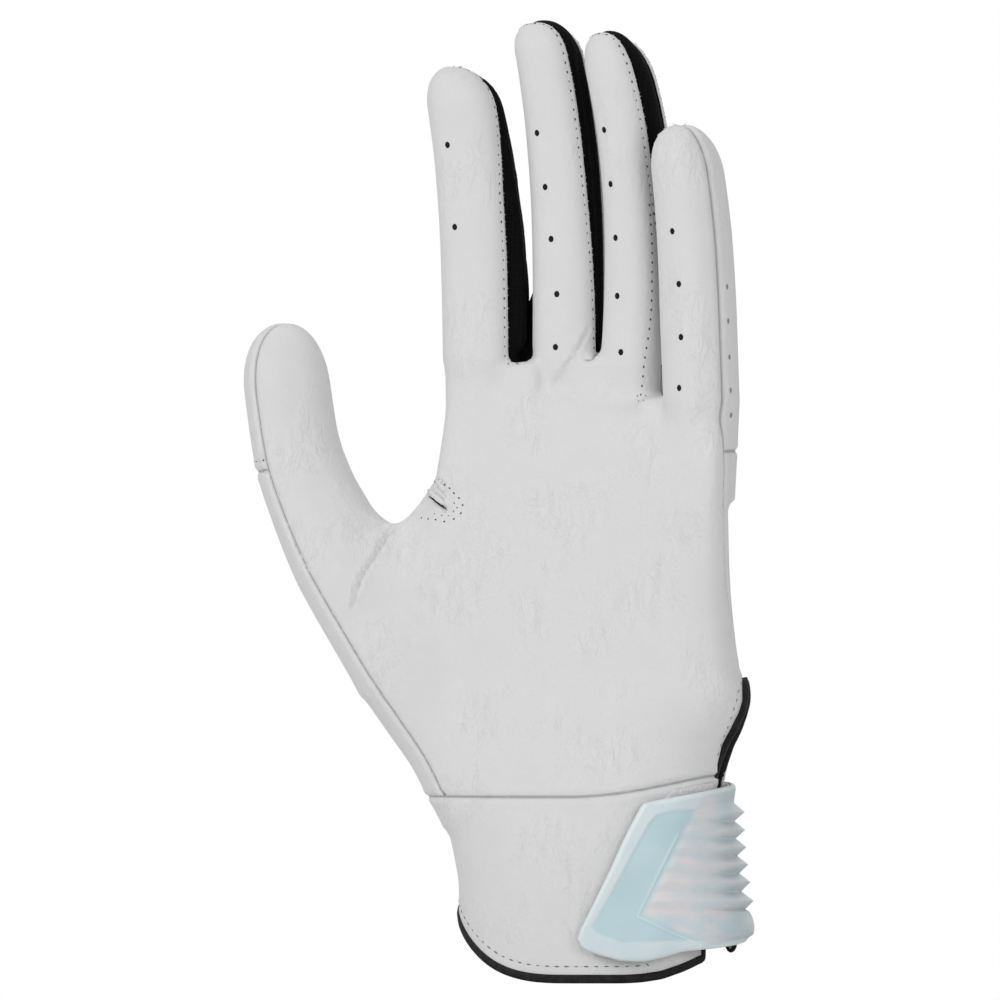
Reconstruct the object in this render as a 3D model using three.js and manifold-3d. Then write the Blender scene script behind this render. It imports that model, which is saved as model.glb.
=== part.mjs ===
// Left-hand batting glove, upright with the fingers up, as if on a hand.
// Millimetres. +Z points to the fingertips, -Y is the palm side, +X the little-finger side.
// The origin is at the centre of the wrist opening, level with the lowest point of the hem.
import * as THREE from "three";
import { mergeVertices } from "three/addons/utils/BufferGeometryUtils.js";
import Module from "manifold-3d";

const wasm = await Module();
wasm.setup();

// Sheet materials and the room between them
const LEATHER = 1.0;
const MESH = 0.8;
const GAP = 0.3;
const LAP = 2.5;
const OVERRUN = 6;
const FULL_TURN = 360;
const MERGE = 2e-3;

// Trunk: cuff, wrist and palm
const CUFF_HEIGHT = 44.4;
const PALM_HEIGHT = 99.3;
const CUFF_HALF_WIDTH = 31.5;
const CUFF_HALF_DEPTH = 21.5;
const PALM_HALF_WIDTH = 39;
const PALM_HALF_DEPTH = 14;
const PALM_ARCH = 7.3;
const ARCH_SKEW = 2.4;
const ARCH_SPAN = 30;
const PALM_TOP_FALL = 6.5;
const TRUNK_SIDES = 28;
const ROUNDNESS = 2.3;

// Trunk sections: share of the height, of the half width and half depth, of the sideways shift
// and of the arch. The cuff rows follow the cuff's sizes and the palm rows the palm's.
const WRIST_SHIFT = 5.6;
const CUFF_SHARES = [
  [-0.08, 1, 1, 0.62, 0],
  [0.55, 1, 1, 0.62, 0],
  [0.78, 1.05, 0.98, 0.75, 0],
  [1.06, 1.18, 0.92, 1, 0.05],
];
const PALM_SHARES = [
  [0.15, 0.97, 1.26, 0.85, 0.15],
  [0.28, 1.03, 1.14, 0.7, 0.3],
  [0.43, 1.03, 1.07, 0.62, 0.5],
  [0.6, 1.01, 1.03, 0.3, 0.75],
  [0.76, 0.985, 0.99, -0.1, 0.95],
  [0.87, 0.975, 0.92, -0.3, 1],
  [0.95, 0.96, 0.74, -0.36, 1],
  [1, 0.85, 0.34, -0.36, 1],
];

// Web between the thumb and the palm: its foot and its top edge, and how thick it is there
const WEB = { footX: -45, topX: -50.5, footY: -5, topY: -8.5, footZ: 72, topZ: 109, width: 12, depth: 8.5 };
const WEB_BODY_SHARES = [
  [0, 1, 1], [0.4, 1, 1], [0.7, 0.95, 0.86], [0.88, 0.8, 0.62], [0.97, 0.6, 0.38], [1, 0.3, 0.16],
];

// Digits. The root is the centre of the section at the hinge. Each finger's place across the
// hand follows from the widths and the slots between neighbours.
const FINGER_SIDES = 20;
const MIDDLE_X = -7.6;
const INDEX_SLOT = 2.0;
const RING_SLOT = 0.6;
const LITTLE_SLOT = 3.6;
const STALK = 24;
const STALK_SINK = 3.5;
const MIDDLE = { halfWidth: 8.8, halfDepth: 8.9, y: -1, hinge: 149.5, length: 82.1, lean: -4.2, bow: 0.4,
  curl: 7, rollAngle: 0, dome: 9.5 };
const INDEX = { halfWidth: 9.8, halfDepth: 9.0, y: -5, hinge: 149.5, length: 70.6, lean: -4.2, bow: -0.2,
  curl: 6.5, rollAngle: 5, dome: 11 };
const RING = { halfWidth: 8.7, halfDepth: 8.7, y: -1.5, hinge: 148, length: 81.2, lean: -4.6, bow: 1.7,
  curl: 7.5, rollAngle: -8, dome: 13 };
const LITTLE = { halfWidth: 9.0, halfDepth: 8.6, y: -11.5, hinge: 139.5, length: 66.7, lean: -3.2, bow: -0.8,
  curl: 6, rollAngle: -25, dome: 12 };
MIDDLE.x = MIDDLE_X;
INDEX.x = MIDDLE.x - MIDDLE.halfWidth - INDEX.halfWidth - INDEX_SLOT;
RING.x = MIDDLE.x + MIDDLE.halfWidth + RING.halfWidth + RING_SLOT;
LITTLE.x = RING.x + RING.halfWidth + LITTLE.halfWidth + LITTLE_SLOT;
// Girth along a finger: share of the length, share of the girth
const GIRTH_SHARES = [[-0.36, 0.72], [0, 1], [0.3, 1.01], [0.6, 1], [0.8, 0.97], [1, 0.92]];
const DOME_SHARES = [0.42, 0.72, 0.9, 0.985, 0.9995];
const TIP_ROUNDNESS = 2.2;

// Thumb: its centre line runs from the wrist to the tip, in shares of the reach to the side,
// of the reach to the front and of the height of the tip.
const THUMB = {
  reach: 76.7, forward: 16, height: 158, halfWidth: 10.4, halfDepth: 9.8, rollAngle: 32, dome: 16,
  hingeShare: 0.535,
};
const THUMB_PATH_SHARES = [
  [0.385, 0.1, 0.3], [0.675, 0.42, 0.52], [0.866, 0.62, 0.68],
  [0.955, 0.75, 0.786], [0.985, 0.87, 0.885], [1, 1, 1],
];
const THUMB_GIRTH_SHARES = [[0, 1.12], [0.3, 1.26], [0.52, 1.2], [0.66, 1.06], [0.78, 1], [1, 0.98]];

// Seams, as angles from the middle of each digit's front towards the little-finger side
const SEAM_ANGLE = 58;
const RADIAL_SEAM_ANGLE = -64;
const LITTLE_SEAM_ANGLE = 86;
const BACK_SEAM_ANGLE = 102;
const INDEX_BACK_SEAM_ANGLE = 108;
const INDEX_WRAP_ANGLE = -105;
const THUMB_SEAM_ANGLE = -56;
const THUMB_BACK_SEAM_ANGLE = 105;
const STRIP_END_ANGLE = -128;
const TIP_CLOSE_ANGLE = 34;
const PANEL_STEPS = 8;
const PANEL_ROWS = 4;
const DIGIT_ROWS = 5;
const GUSSET_STEPS = 4;
const SECTOR_REACH_SHARE = 1.5;
const SECTOR_ROWS = 6;
const SECTOR_STEPS = 5;
// The thumb's back is two pieces that meet at a step below its last joint
const THUMB_STEP_SHARE = 0.42;

// Edges of the cuff
const HEM_RISE = 11;
const HEM_MIDDLE_X = 1.9;
const HEM_LIMIT_SHARE = 1.2;
const WRIST_SEAM_RISE = 5;
const BINDING = 0.6;
const BINDING_WIDTH = 2.2;
const SLIT_HEIGHT = 71.5;
const SLIT_Y = 2;
const SLIT_TOP_Y = 5;
const SLIT_WIDTH = 9;
const SLIT_TOP_WIDTH = 1;
const SLIT_BEND_SHARES = [0.45, 0.75];
const LEVEL_STEPS = 18;

// Back of the hand. The side seam lies further back along the edge of the thumb side.
const KNUCKLE_BAND_LOW = 116;
const KNUCKLE_BAND_HIGH = 134;
const SIDE_SEAM_SHARE = 0.35;
const FRONT_STEPS = 12;

// Closure strap, in layers outward from the cuff
const LOOP_THICK = 0.9;
const HOOK_THICK = 0.8;
const STRAP_THICK = 1.2;
const TAB_THICK = 1.3;
const RIB_HEIGHT = 2.0;
const RIB_PITCH = 4.3;
const RIB_COUNT = 7;
const STRAP_LOW = 9;
const STRAP_SAG = 3;
const STRAP_HIGH = 46;
const STRAP_STEPS = 26;
const STRAP_ROOM = 0.6;
const STRAP_WIDE_ANGLE = 90;
const STRAP_END_ANGLE = 158;
const ANCHOR_ANGLE = 176;
const TAB_END_ANGLE = 128;
const FREE_END_TOP_ANGLE = 39;
const FREE_END_LOW_ANGLE = 10;
const LOOP_END_ANGLE = 74;
const PATCH_INSET = 2.5;
const PATCH_ANGLE = 6;
const RIB_START_ANGLE = 48;
const RIB_FADE_ANGLE = 30;

// Reinforcement sewn over the web between thumb and index finger: middle, reach, outline
const PATCH = { x: -37.5, z: 116.5, reach: 10 };
const PATCH_SHARES = [
  [-1.2, 0.7], [-0.55, 0.75], [0.2, 0.35], [0.55, 0], [0.3, -0.35], [-0.4, -0.5], [-1.2, -0.45],
];

// Ventilation holes: share of the finger's length above its hinge, and angle on the front
const HOLE_RADIUS = 0.85;
const HOLE_SIDES = 6;
const HOLE_REACH_SHARES = [0.6, 1.25];
const INDEX_HOLE_SHARES = [[0.449, -19], [0.728, -19]];
const MIDDLE_HOLE_SHARES = [[0.035, 1], [0.19, 2], [0.351, -4], [0.503, -10], [0.661, -17]];
const RING_HOLE_SHARES = [[0.039, 2], [0.205, -7], [0.377, -11], [0.536, -16], [0.696, -17]];
const LITTLE_HOLE_SHARES = [[0.046, 9], [0.229, 16], [0.42, 16], [0.61, 10]];
const LITTLE_SIDE_HOLE_SHARES = [[0.038, 98], [0.157, 98], [0.287, 98], [0.41, 99]];

const rad = THREE.MathUtils.degToRad;
const mix = THREE.MathUtils.lerp;
const vec = (x, y, z) => new THREE.Vector3(x, y, z);

// Value of a table of [place, value] rows, straight between its rows
function along(table, place) {
  const next = table.findIndex((row) => row[0] >= place);
  if (next === 0) return table[0][1];
  if (next < 0) return table[table.length - 1][1];
  const [a, b] = [table[next - 1], table[next]];
  return mix(a[1], b[1], (place - a[0]) / (b[0] - a[0]));
}

// Coordinate of a rounded oval of half size 1, for the sine or cosine of its angle
const oval = (value) => Math.sign(value) * Math.abs(value) ** (2 / ROUNDNESS);

// Closed solid through rings of points. The ends are closed by fans from each ring's middle, by
// fans from its first point where the ring is a sector, or by strips across a bent sheet's ring.
function loft(rings, ends = "middle") {
  const size = rings[0].length;
  const points = rings.flat();
  const faces = [];
  for (let ring = 0; ring + 1 < rings.length; ring++)
    for (let i = 0; i < size; i++) {
      const j = (i + 1) % size;
      const [a, b, c, d] = [ring * size + i, ring * size + j, (ring + 1) * size + j, (ring + 1) * size + i];
      faces.push(a, b, c, a, c, d);
    }
  const cap = (start, reversed) => {
    const face = (a, b, c) => faces.push(...(reversed ? [a, c, b] : [a, b, c]));
    if (ends === "first") {
      for (let i = 1; i + 1 < size; i++) face(start, start + i, start + i + 1);
    } else if (ends === "sheet") {
      for (let low = start, high = start + size - 1; high - low > 1; low++, high--) {
        face(low, low + 1, high);
        if (high - low > 2) face(low + 1, high - 1, high);
      }
    } else {
      const middle = points.length;
      const ring = points.slice(start, start + size);
      points.push(ring.reduce((sum, p) => sum.add(p), vec(0, 0, 0)).divideScalar(size));
      for (let i = 0; i < size; i++) face(middle, start + i, start + ((i + 1) % size));
    }
  };
  cap(0, true);
  cap((rings.length - 1) * size, false);
  return solidFrom(points, faces);
}

// Solid of points and faces, with the faces turned outwards
function solidFrom(points, faces) {
  let volume = 0;
  for (let i = 0; i < faces.length; i += 3) {
    const [a, b, c] = faces.slice(i, i + 3).map((k) => points[k]);
    volume += a.dot(b.clone().cross(c));
  }
  if (volume < 0) faces.reverse();
  return new wasm.Manifold(
    new wasm.Mesh({
      numProp: 3,
      vertProperties: new Float32Array(points.flatMap((p) => p.toArray())),
      triVerts: new Uint32Array(faces),
    }),
  );
}

// Straight prism of an outline given as [across, up] pairs, square to X or to Y
function prism(outline, axis, from, to) {
  const flat = outline.map(([across, up]) => new THREE.Vector2(across, up));
  if (THREE.ShapeUtils.isClockWise(flat)) flat.reverse();
  const place = (distance) =>
    flat.map((p) => (axis === "y" ? vec(p.x, distance, p.y) : vec(distance, p.x, p.y)));
  const count = flat.length;
  const faces = [];
  for (const [a, b, c] of THREE.ShapeUtils.triangulateShape(flat, []))
    faces.push(a, b, c, a + count, c + count, b + count);
  for (let i = 0; i < count; i++) {
    const j = (i + 1) % count;
    faces.push(j, i, i + count, j, i + count, j + count);
  }
  return solidFrom([...place(from), ...place(to)], faces);
}

// Trunk

const FAR = 2 * (PALM_HEIGHT + CUFF_HEIGHT);
const rowsOf = (shares, foot, height, halfWidth, halfDepth) =>
  shares.map(([h, w, d, shift, arch]) => ({
    z: foot + h * height,
    a: w * halfWidth,
    b: d * halfDepth,
    x: -shift * WRIST_SHIFT,
    arch,
  }));
const trunkRows = [
  ...rowsOf(CUFF_SHARES, 0, CUFF_HEIGHT, CUFF_HALF_WIDTH, CUFF_HALF_DEPTH),
  ...rowsOf(PALM_SHARES, CUFF_HEIGHT, PALM_HEIGHT, PALM_HALF_WIDTH, PALM_HALF_DEPTH),
];

// Depth of the middle of the arched hand at a place across it
function archDepth(x, share) {
  const across = THREE.MathUtils.clamp(x, -PALM_HALF_WIDTH, PALM_HALF_WIDTH) / ARCH_SPAN;
  return -share * (PALM_ARCH * across ** 2 + ARCH_SKEW * across);
}

// The top of the palm falls towards the little finger
const fall = (row, x) => -PALM_TOP_FALL * row.arch ** 2 * (x / PALM_HALF_WIDTH);

// Point of the trunk's surface, sunk by the given depth
function trunkPoint(row, angle, depth) {
  const x = row.x + Math.max(row.a - depth, LEATHER) * oval(Math.sin(angle));
  const y = archDepth(x, row.arch) - Math.max(row.b - depth, LEATHER) * oval(Math.cos(angle));
  return vec(x, y, row.z + fall(row, x));
}

function trunk(depth) {
  const top = trunkRows[trunkRows.length - 1];
  const rows = [...trunkRows.slice(0, -1), { ...top, z: top.z - depth }];
  const angles = Array.from({ length: TRUNK_SIDES }, (_, i) => (2 * Math.PI * i) / TRUNK_SIDES);
  return loft(rows.map((row) => angles.map((angle) => trunkPoint(row, angle, depth))));
}

// Digits

// Section of a finger at a share of its length. Below the hinge a stalk sinks into the palm.
function fingerSection(digit, share) {
  const above = Math.max(share, 0);
  const sunk = Math.max((-share * digit.length) / STALK, 0);
  const roll = rad(digit.rollAngle);
  return {
    centre: vec(
      digit.x + digit.lean * above ** 3 + 4 * digit.bow * above * (1 - share),
      digit.y - digit.curl * above ** 3 + STALK_SINK * sunk,
      digit.hinge + digit.length * share,
    ),
    lateral: vec(Math.cos(roll), Math.sin(roll), 0),
    dorsal: vec(-Math.sin(roll), Math.cos(roll), 0),
    a: digit.halfWidth * along(GIRTH_SHARES, share),
    b: digit.halfDepth * along(GIRTH_SHARES, share),
  };
}

const thumbPath = new THREE.CatmullRomCurve3(
  THUMB_PATH_SHARES.map(([x, y, z]) => vec(-x * THUMB.reach, -y * THUMB.forward, z * THUMB.height)),
);
THUMB.pathLength = thumbPath.getLength();
THUMB.length = THUMB.pathLength * (1 - THUMB.hingeShare);

function thumbSection(digit, share) {
  const u = THREE.MathUtils.clamp(THUMB.hingeShare + share * (1 - THUMB.hingeShare), 0, 1);
  const up = thumbPath.getTangentAt(u);
  const back = vec(0, 1, 0).addScaledVector(up, -up.y).normalize();
  const side = back.clone().cross(up);
  const roll = rad(THUMB.rollAngle);
  return {
    centre: thumbPath.getPointAt(u),
    lateral: side.clone().multiplyScalar(Math.cos(roll)).addScaledVector(back, Math.sin(roll)),
    dorsal: back.clone().multiplyScalar(Math.cos(roll)).addScaledVector(side, -Math.sin(roll)),
    a: THUMB.halfWidth * along(THUMB_GIRTH_SHARES, u),
    b: THUMB.halfDepth * along(THUMB_GIRTH_SHARES, u),
  };
}

INDEX.section = MIDDLE.section = RING.section = LITTLE.section = fingerSection;
THUMB.section = thumbSection;

// Shares of a digit's length at which it has sections, from a start to an end. At the tip they
// crowd together, and they lie lower for a sunk surface.
function stations(digit, start, end, depth, rows = PANEL_ROWS) {
  const domeStart = 1 - digit.dome / digit.length;
  const straightEnd = Math.min(domeStart, end);
  const body = Array.from({ length: rows + 1 }, (_, i) => mix(start, straightEnd, i / rows));
  if (end <= domeStart) return body;
  return [...body, ...DOME_SHARES.map((share) => mix(domeStart, 1 - depth / digit.length, share))];
}

// Narrowing of the rounded tip at a share of the length
function domeScale(digit, share, depth) {
  const top = 1 - depth / digit.length;
  const domeStart = 1 - digit.dome / digit.length;
  const rise = THREE.MathUtils.clamp((share - domeStart) / (top - domeStart), 0, 1);
  return Math.max(1 - rise ** TIP_ROUNDNESS, 0) ** (1 / TIP_ROUNDNESS);
}

function digitPoint(digit, share, angle, depth, reach = 1) {
  const { centre, lateral, dorsal, a, b } = digit.section(digit, share);
  const scale = domeScale(digit, share, depth) * reach;
  return centre
    .clone()
    .addScaledVector(lateral, (a - depth) * scale * oval(Math.sin(angle)))
    .addScaledVector(dorsal, -(b - depth) * scale * oval(Math.cos(angle)));
}

function digitSolid(digit, start, depth) {
  const angles = Array.from({ length: FINGER_SIDES }, (_, i) => (2 * Math.PI * i) / FINGER_SIDES);
  return loft(
    stations(digit, start, 1, depth, DIGIT_ROWS).map((share) =>
      angles.map((angle) => digitPoint(digit, share, angle, depth)),
    ),
  );
}

// Curved sheet of a digit between two seams and two depths. A seam gives an angle for a share.
function sheet(digit, from, to, top, bottom, start, end, steps) {
  const arc = (share, depth) => {
    const [first, last] = [rad(from(share)), rad(to(share))];
    return Array.from({ length: steps + 1 }, (_, i) =>
      digitPoint(digit, share, mix(first, last, i / steps), depth),
    );
  };
  const inner = stations(digit, start, end, bottom);
  return loft(
    stations(digit, start, end, top).map((share, i) => {
      const under = arc(inner[i], bottom);
      return [...arc(share, top), ...under.reverse()];
    }),
    "sheet",
  );
}

// Share of a digit's length, counted from its hinge, at which it starts inside the hand
const stalkShare = (digit) =>
  digit === THUMB ? -THUMB.hingeShare / (1 - THUMB.hingeShare) : -STALK / digit.length;

// Sector of the thumb between two angles, from its base to just past its hinge and beyond its surface
function thumbSector(from, to) {
  const past = OVERRUN / THUMB.length;
  return loft(
    Array.from({ length: SECTOR_ROWS + 1 }, (_, row) => {
      const share = mix(stalkShare(THUMB), past, row / SECTOR_ROWS);
      const rim = Array.from({ length: SECTOR_STEPS + 1 }, (_, i) =>
        digitPoint(THUMB, share, rad(mix(from, to, i / SECTOR_STEPS)), 0, SECTOR_REACH_SHARE),
      );
      return [THUMB.section(THUMB, share).centre, ...rim];
    }),
    "first",
  );
}

const DIGITS = [INDEX, MIDDLE, RING, LITTLE, THUMB];

// The whole hand, sunk by the given depth
const handCache = new Map();
function hand(depth) {
  if (!handCache.has(depth)) {
    let whole = trunk(depth).add(webSolid(depth));
    for (const digit of DIGITS) whole = whole.add(digitSolid(digit, stalkShare(digit), depth));
    handCache.set(depth, whole);
  }
  return handCache.get(depth);
}

function webSolid(depth) {
  return loft(
    WEB_BODY_SHARES.map(([up, width, thick]) =>
      Array.from({ length: FINGER_SIDES }, (_, i) => {
        const angle = (2 * Math.PI * i) / FINGER_SIDES;
        return vec(
          mix(WEB.footX, WEB.topX, up) + Math.max(WEB.width * width - depth, LEATHER) * Math.sin(angle),
          mix(WEB.footY, WEB.topY, up) - Math.max(WEB.depth * thick - depth, LEATHER / 2) * Math.cos(angle),
          mix(WEB.footZ, WEB.topZ - depth, up),
        );
      }),
    ),
  );
}

// What of the hand lies on the digits' side of their hinges, cut a little wide
function beyondHinges() {
  return DIGITS.map((digit) => digitSolid(digit, 0, -LEATHER)).reduce((all, piece) => all.add(piece));
}

// Region in front of the middle of the arched hand, moved back by the given amount
function frontRegion(shift) {
  const levels = [{ z: -FAR, arch: 0 }, ...trunkRows, { z: FAR, arch: 1 }];
  return loft(
    levels.map(({ z, arch }) => {
      const edge = Array.from({ length: FRONT_STEPS + 1 }, (_, i) => {
        const x = mix(PALM_HALF_WIDTH, -PALM_HALF_WIDTH, i / FRONT_STEPS);
        return vec(x, archDepth(x, arch) + shift(x), z);
      });
      const right = [vec(0, -FAR, z), vec(FAR, -FAR, z), vec(FAR, edge[0].y, z)];
      const left = [vec(-FAR, edge[FRONT_STEPS].y, z), vec(-FAR, -FAR, z)];
      return [...right, ...edge, ...left];
    }),
    "first",
  );
}

// Everything below a wavy level across the hand
function below(level) {
  const width = 2 * PALM_HALF_WIDTH;
  const line = Array.from({ length: LEVEL_STEPS + 1 }, (_, i) => {
    const x = mix(width, -width, i / LEVEL_STEPS);
    return [x, level(x)];
  });
  return prism([[-width, -FAR], [width, -FAR], ...line], "y", -FAR, FAR);
}

function hemLevel(x) {
  const out = Math.min(Math.abs(x - HEM_MIDDLE_X) / CUFF_HALF_WIDTH, HEM_LIMIT_SHARE);
  return HEM_RISE * out ** 3;
}

const seamLevel = (x) =>
  CUFF_HEIGHT + WRIST_SEAM_RISE * THREE.MathUtils.clamp(x / CUFF_HALF_WIDTH, 0, 1) ** 2;

// Outline of the slit on the little-finger side, widened by a margin
function slitOutline(margin) {
  const half = SLIT_WIDTH / 2;
  const wrist = CUFF_HEIGHT + WRIST_SEAM_RISE;
  const [inward, upward] = SLIT_BEND_SHARES;
  const bend = mix(wrist, SLIT_HEIGHT, upward);
  return [
    [SLIT_Y - margin, -FAR],
    [SLIT_Y - margin, wrist],
    [mix(SLIT_Y, SLIT_TOP_Y, inward) - margin, bend],
    [SLIT_TOP_Y - (margin + SLIT_TOP_WIDTH) / 2, SLIT_HEIGHT + margin],
    [SLIT_TOP_Y + (margin + SLIT_TOP_WIDTH) / 2, SLIT_HEIGHT + margin],
    [mix(SLIT_Y + half, SLIT_TOP_Y, inward) + margin, bend],
    [SLIT_Y + SLIT_WIDTH - half / 2 + margin, wrist],
    [SLIT_Y + SLIT_WIDTH + margin, -FAR],
  ];
}
const slit = (margin) => prism(slitOutline(margin), "x", 0, FAR);

// Pieces

const FINISHES = {
  leather: new THREE.MeshStandardMaterial({ color: 0xd8d8d8, roughness: 0.62, metalness: 0 }),
  mesh: new THREE.MeshStandardMaterial({ color: 0x161616, roughness: 0.9, metalness: 0 }),
  binding: new THREE.MeshStandardMaterial({ color: 0x232323, roughness: 0.7, metalness: 0 }),
  tab: new THREE.MeshStandardMaterial({ color: 0xb9d3dc, roughness: 0.35, metalness: 0 }),
  fabric: new THREE.MeshStandardMaterial({ color: 0xc9cdd0, roughness: 0.95, metalness: 0 }),
  hook: new THREE.MeshStandardMaterial({ color: 0x2c2c2e, roughness: 0.6, metalness: 0 }),
};

const glove = new THREE.Group();

// Adds a solid as a named piece. Slivers that a cut leaves beside the piece are dropped.
function addPiece(name, solid, finish) {
  const cut = solid.getMesh();
  const snapped = cut.vertProperties.map((value) => Math.round(value / MERGE) * MERGE);
  const loose = new THREE.BufferGeometry();
  loose.setAttribute("position", new THREE.BufferAttribute(snapped, 3));
  loose.setIndex(new THREE.BufferAttribute(new Uint32Array(cut.triVerts), 1));
  const merged = mergeVertices(loose.toNonIndexed(), MERGE);
  const whole = new wasm.Manifold(
    new wasm.Mesh({
      numProp: 3,
      vertProperties: merged.attributes.position.array,
      triVerts: new Uint32Array(merged.index.array),
    }),
  );
  const body = whole.decompose().reduce((best, part) => (part.volume() > best.volume() ? part : best));
  const mesh = body.getMesh();
  const geometry = new THREE.BufferGeometry();
  geometry.setAttribute("position", new THREE.BufferAttribute(new Float32Array(mesh.vertProperties), 3));
  geometry.setIndex(new THREE.BufferAttribute(new Uint32Array(mesh.triVerts), 1));
  geometry.computeVertexNormals();
  const piece = new THREE.Mesh(geometry, FINISHES[finish]);
  piece.name = name;
  glove.add(piece);
}

function shell(from, to) {
  return hand(from).subtract(hand(to));
}

// Fingers and thumb: shells of their own beyond the hinge

const seamGap = (digit) => THREE.MathUtils.radToDeg(GAP / 2 / digit.halfWidth);
const lapAngle = (digit) => THREE.MathUtils.radToDeg(LAP / digit.halfWidth);

// Seam that turns by an angle over the last part of the digit
const closing = (seam, turn) => (share) => seam + turn * THREE.MathUtils.smoothstep(share, 0.5, 1);
const straight = (seam) => () => seam;

// Leather panel between two seams, from just above the hinge to the tip unless told otherwise
function panel(digit, from, to, start = GAP / digit.length, end = 1) {
  const gap = seamGap(digit);
  const [left, right] = [(share) => from(share) + gap, (share) => to(share) - gap];
  return sheet(digit, left, right, 0, LEATHER, start, end, PANEL_STEPS);
}

// Mesh strip under the edges of the panels at both its sides
function fourchette(digit, from, to) {
  const lap = lapAngle(digit);
  const [left, right] = [(share) => from(share) - lap, (share) => to(share) + lap];
  const top = LEATHER + GAP;
  return sheet(digit, left, right, top, top + MESH, GAP / digit.length, 1, GUSSET_STEPS);
}

// Holes through a panel, each square to the surface
function pierce(solid, digit, holes) {
  for (const [share, degrees] of holes) {
    const [foot, head] = HOLE_REACH_SHARES.map((reach) => digitPoint(digit, share, rad(degrees), 0, reach));
    const out = head.clone().sub(foot).normalize();
    const turn = new THREE.Quaternion().setFromUnitVectors(vec(0, 1, 0), out);
    const ring = (centre) =>
      Array.from({ length: HOLE_SIDES }, (_, i) => {
        const around = (2 * Math.PI * i) / HOLE_SIDES;
        return vec(HOLE_RADIUS * Math.cos(around), 0, HOLE_RADIUS * Math.sin(around))
          .applyQuaternion(turn)
          .add(centre);
      });
    solid = solid.subtract(loft([ring(foot), ring(head)]));
  }
  return solid;
}

const indexSeam = closing(SEAM_ANGLE, TIP_CLOSE_ANGLE);
const indexBackSeam = straight(INDEX_BACK_SEAM_ANGLE);
const indexFront = panel(INDEX, straight(INDEX_WRAP_ANGLE), indexSeam);
addPiece("index_front", pierce(indexFront, INDEX, INDEX_HOLE_SHARES), "leather");
addPiece("index_back", panel(INDEX, indexBackSeam, straight(INDEX_WRAP_ANGLE + FULL_TURN)), "leather");
addPiece("index_ulnar_fourchette", fourchette(INDEX, indexSeam, indexBackSeam), "mesh");

const longFingers = [["middle", MIDDLE, MIDDLE_HOLE_SHARES], ["ring", RING, RING_HOLE_SHARES]];
for (const [name, digit, holes] of longFingers) {
  const [left, right] = [straight(RADIAL_SEAM_ANGLE), straight(SEAM_ANGLE)];
  const [leftBack, rightBack] = [straight(-BACK_SEAM_ANGLE), straight(BACK_SEAM_ANGLE)];
  addPiece(name + "_front", pierce(panel(digit, left, right), digit, holes), "leather");
  addPiece(name + "_back", panel(digit, rightBack, straight(FULL_TURN - BACK_SEAM_ANGLE)), "leather");
  addPiece(name + "_radial_fourchette", fourchette(digit, leftBack, left), "mesh");
  addPiece(name + "_ulnar_fourchette", fourchette(digit, right, rightBack), "mesh");
}

const littleSide = straight(LITTLE_SEAM_ANGLE);
const littleFront = panel(LITTLE, straight(-SEAM_ANGLE), littleSide);
const littleBack = panel(LITTLE, littleSide, straight(FULL_TURN - BACK_SEAM_ANGLE));
addPiece("little_front", pierce(littleFront, LITTLE, LITTLE_HOLE_SHARES), "leather");
addPiece("little_back", pierce(littleBack, LITTLE, LITTLE_SIDE_HOLE_SHARES), "leather");
const littleSlot = fourchette(LITTLE, straight(-BACK_SEAM_ANGLE), straight(-SEAM_ANGLE));
addPiece("little_radial_fourchette", littleSlot, "mesh");

const [thumbBackSeam, thumbRound] = [straight(THUMB_BACK_SEAM_ANGLE), straight(THUMB_SEAM_ANGLE + FULL_TURN)];
const [thumbFoot, thumbStep] = [GAP / THUMB.length, THUMB_STEP_SHARE + GAP / THUMB.length];
addPiece("thumb_front", panel(THUMB, straight(THUMB_SEAM_ANGLE), thumbBackSeam), "leather");
addPiece("thumb_tip_back", panel(THUMB, thumbBackSeam, thumbRound, thumbStep), "leather");
addPiece("thumb_back", panel(THUMB, thumbBackSeam, thumbRound, thumbFoot, THUMB_STEP_SHARE), "leather");

// Trunk pieces

const rootShell = shell(0, LEATHER).subtract(beyondHinges()).subtract(slit(BINDING + GAP));
const sideShift = (x) => Math.max(-x / PALM_HALF_WIDTH, 0) * PALM_HALF_DEPTH * SIDE_SEAM_SHARE;
const front = frontRegion(sideShift);
const frontGrown = frontRegion((x) => sideShift(x) + GAP);
const cuffRegion = below(seamLevel);
const cuffGrown = below((x) => seamLevel(x) + GAP);
const underHem = below((x) => hemLevel(x) + BINDING + GAP);

const strip = thumbSector(STRIP_END_ANGLE, THUMB_SEAM_ANGLE);
const stripCut = thumbSector(STRIP_END_ANGLE - 2 * seamGap(THUMB), THUMB_SEAM_ANGLE + 2 * seamGap(THUMB));

const palmSide = rootShell.subtract(cuffGrown).subtract(stripCut);
addPiece("palm_leather", palmSide.intersect(front), "leather");
addPiece("thumb_side_strip", rootShell.subtract(cuffGrown).intersect(strip), "leather");

const backSide = palmSide.subtract(frontGrown);
const bandEdge = (height) => below((x) => height - PALM_TOP_FALL * (x / PALM_HALF_WIDTH));
const band = backSide.subtract(bandEdge(KNUCKLE_BAND_LOW + GAP)).intersect(bandEdge(KNUCKLE_BAND_HIGH));
addPiece("back_panel", backSide.intersect(bandEdge(KNUCKLE_BAND_LOW)), "leather");
addPiece("knuckle_band", band, "mesh");
addPiece("knuckle_yoke", backSide.subtract(bandEdge(KNUCKLE_BAND_HIGH + GAP)), "leather");

const cuff = rootShell.intersect(cuffRegion).subtract(underHem);
addPiece("cuff_palm", cuff.intersect(front), "leather");
addPiece("cuff_back", cuff.subtract(frontGrown), "leather");

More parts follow.
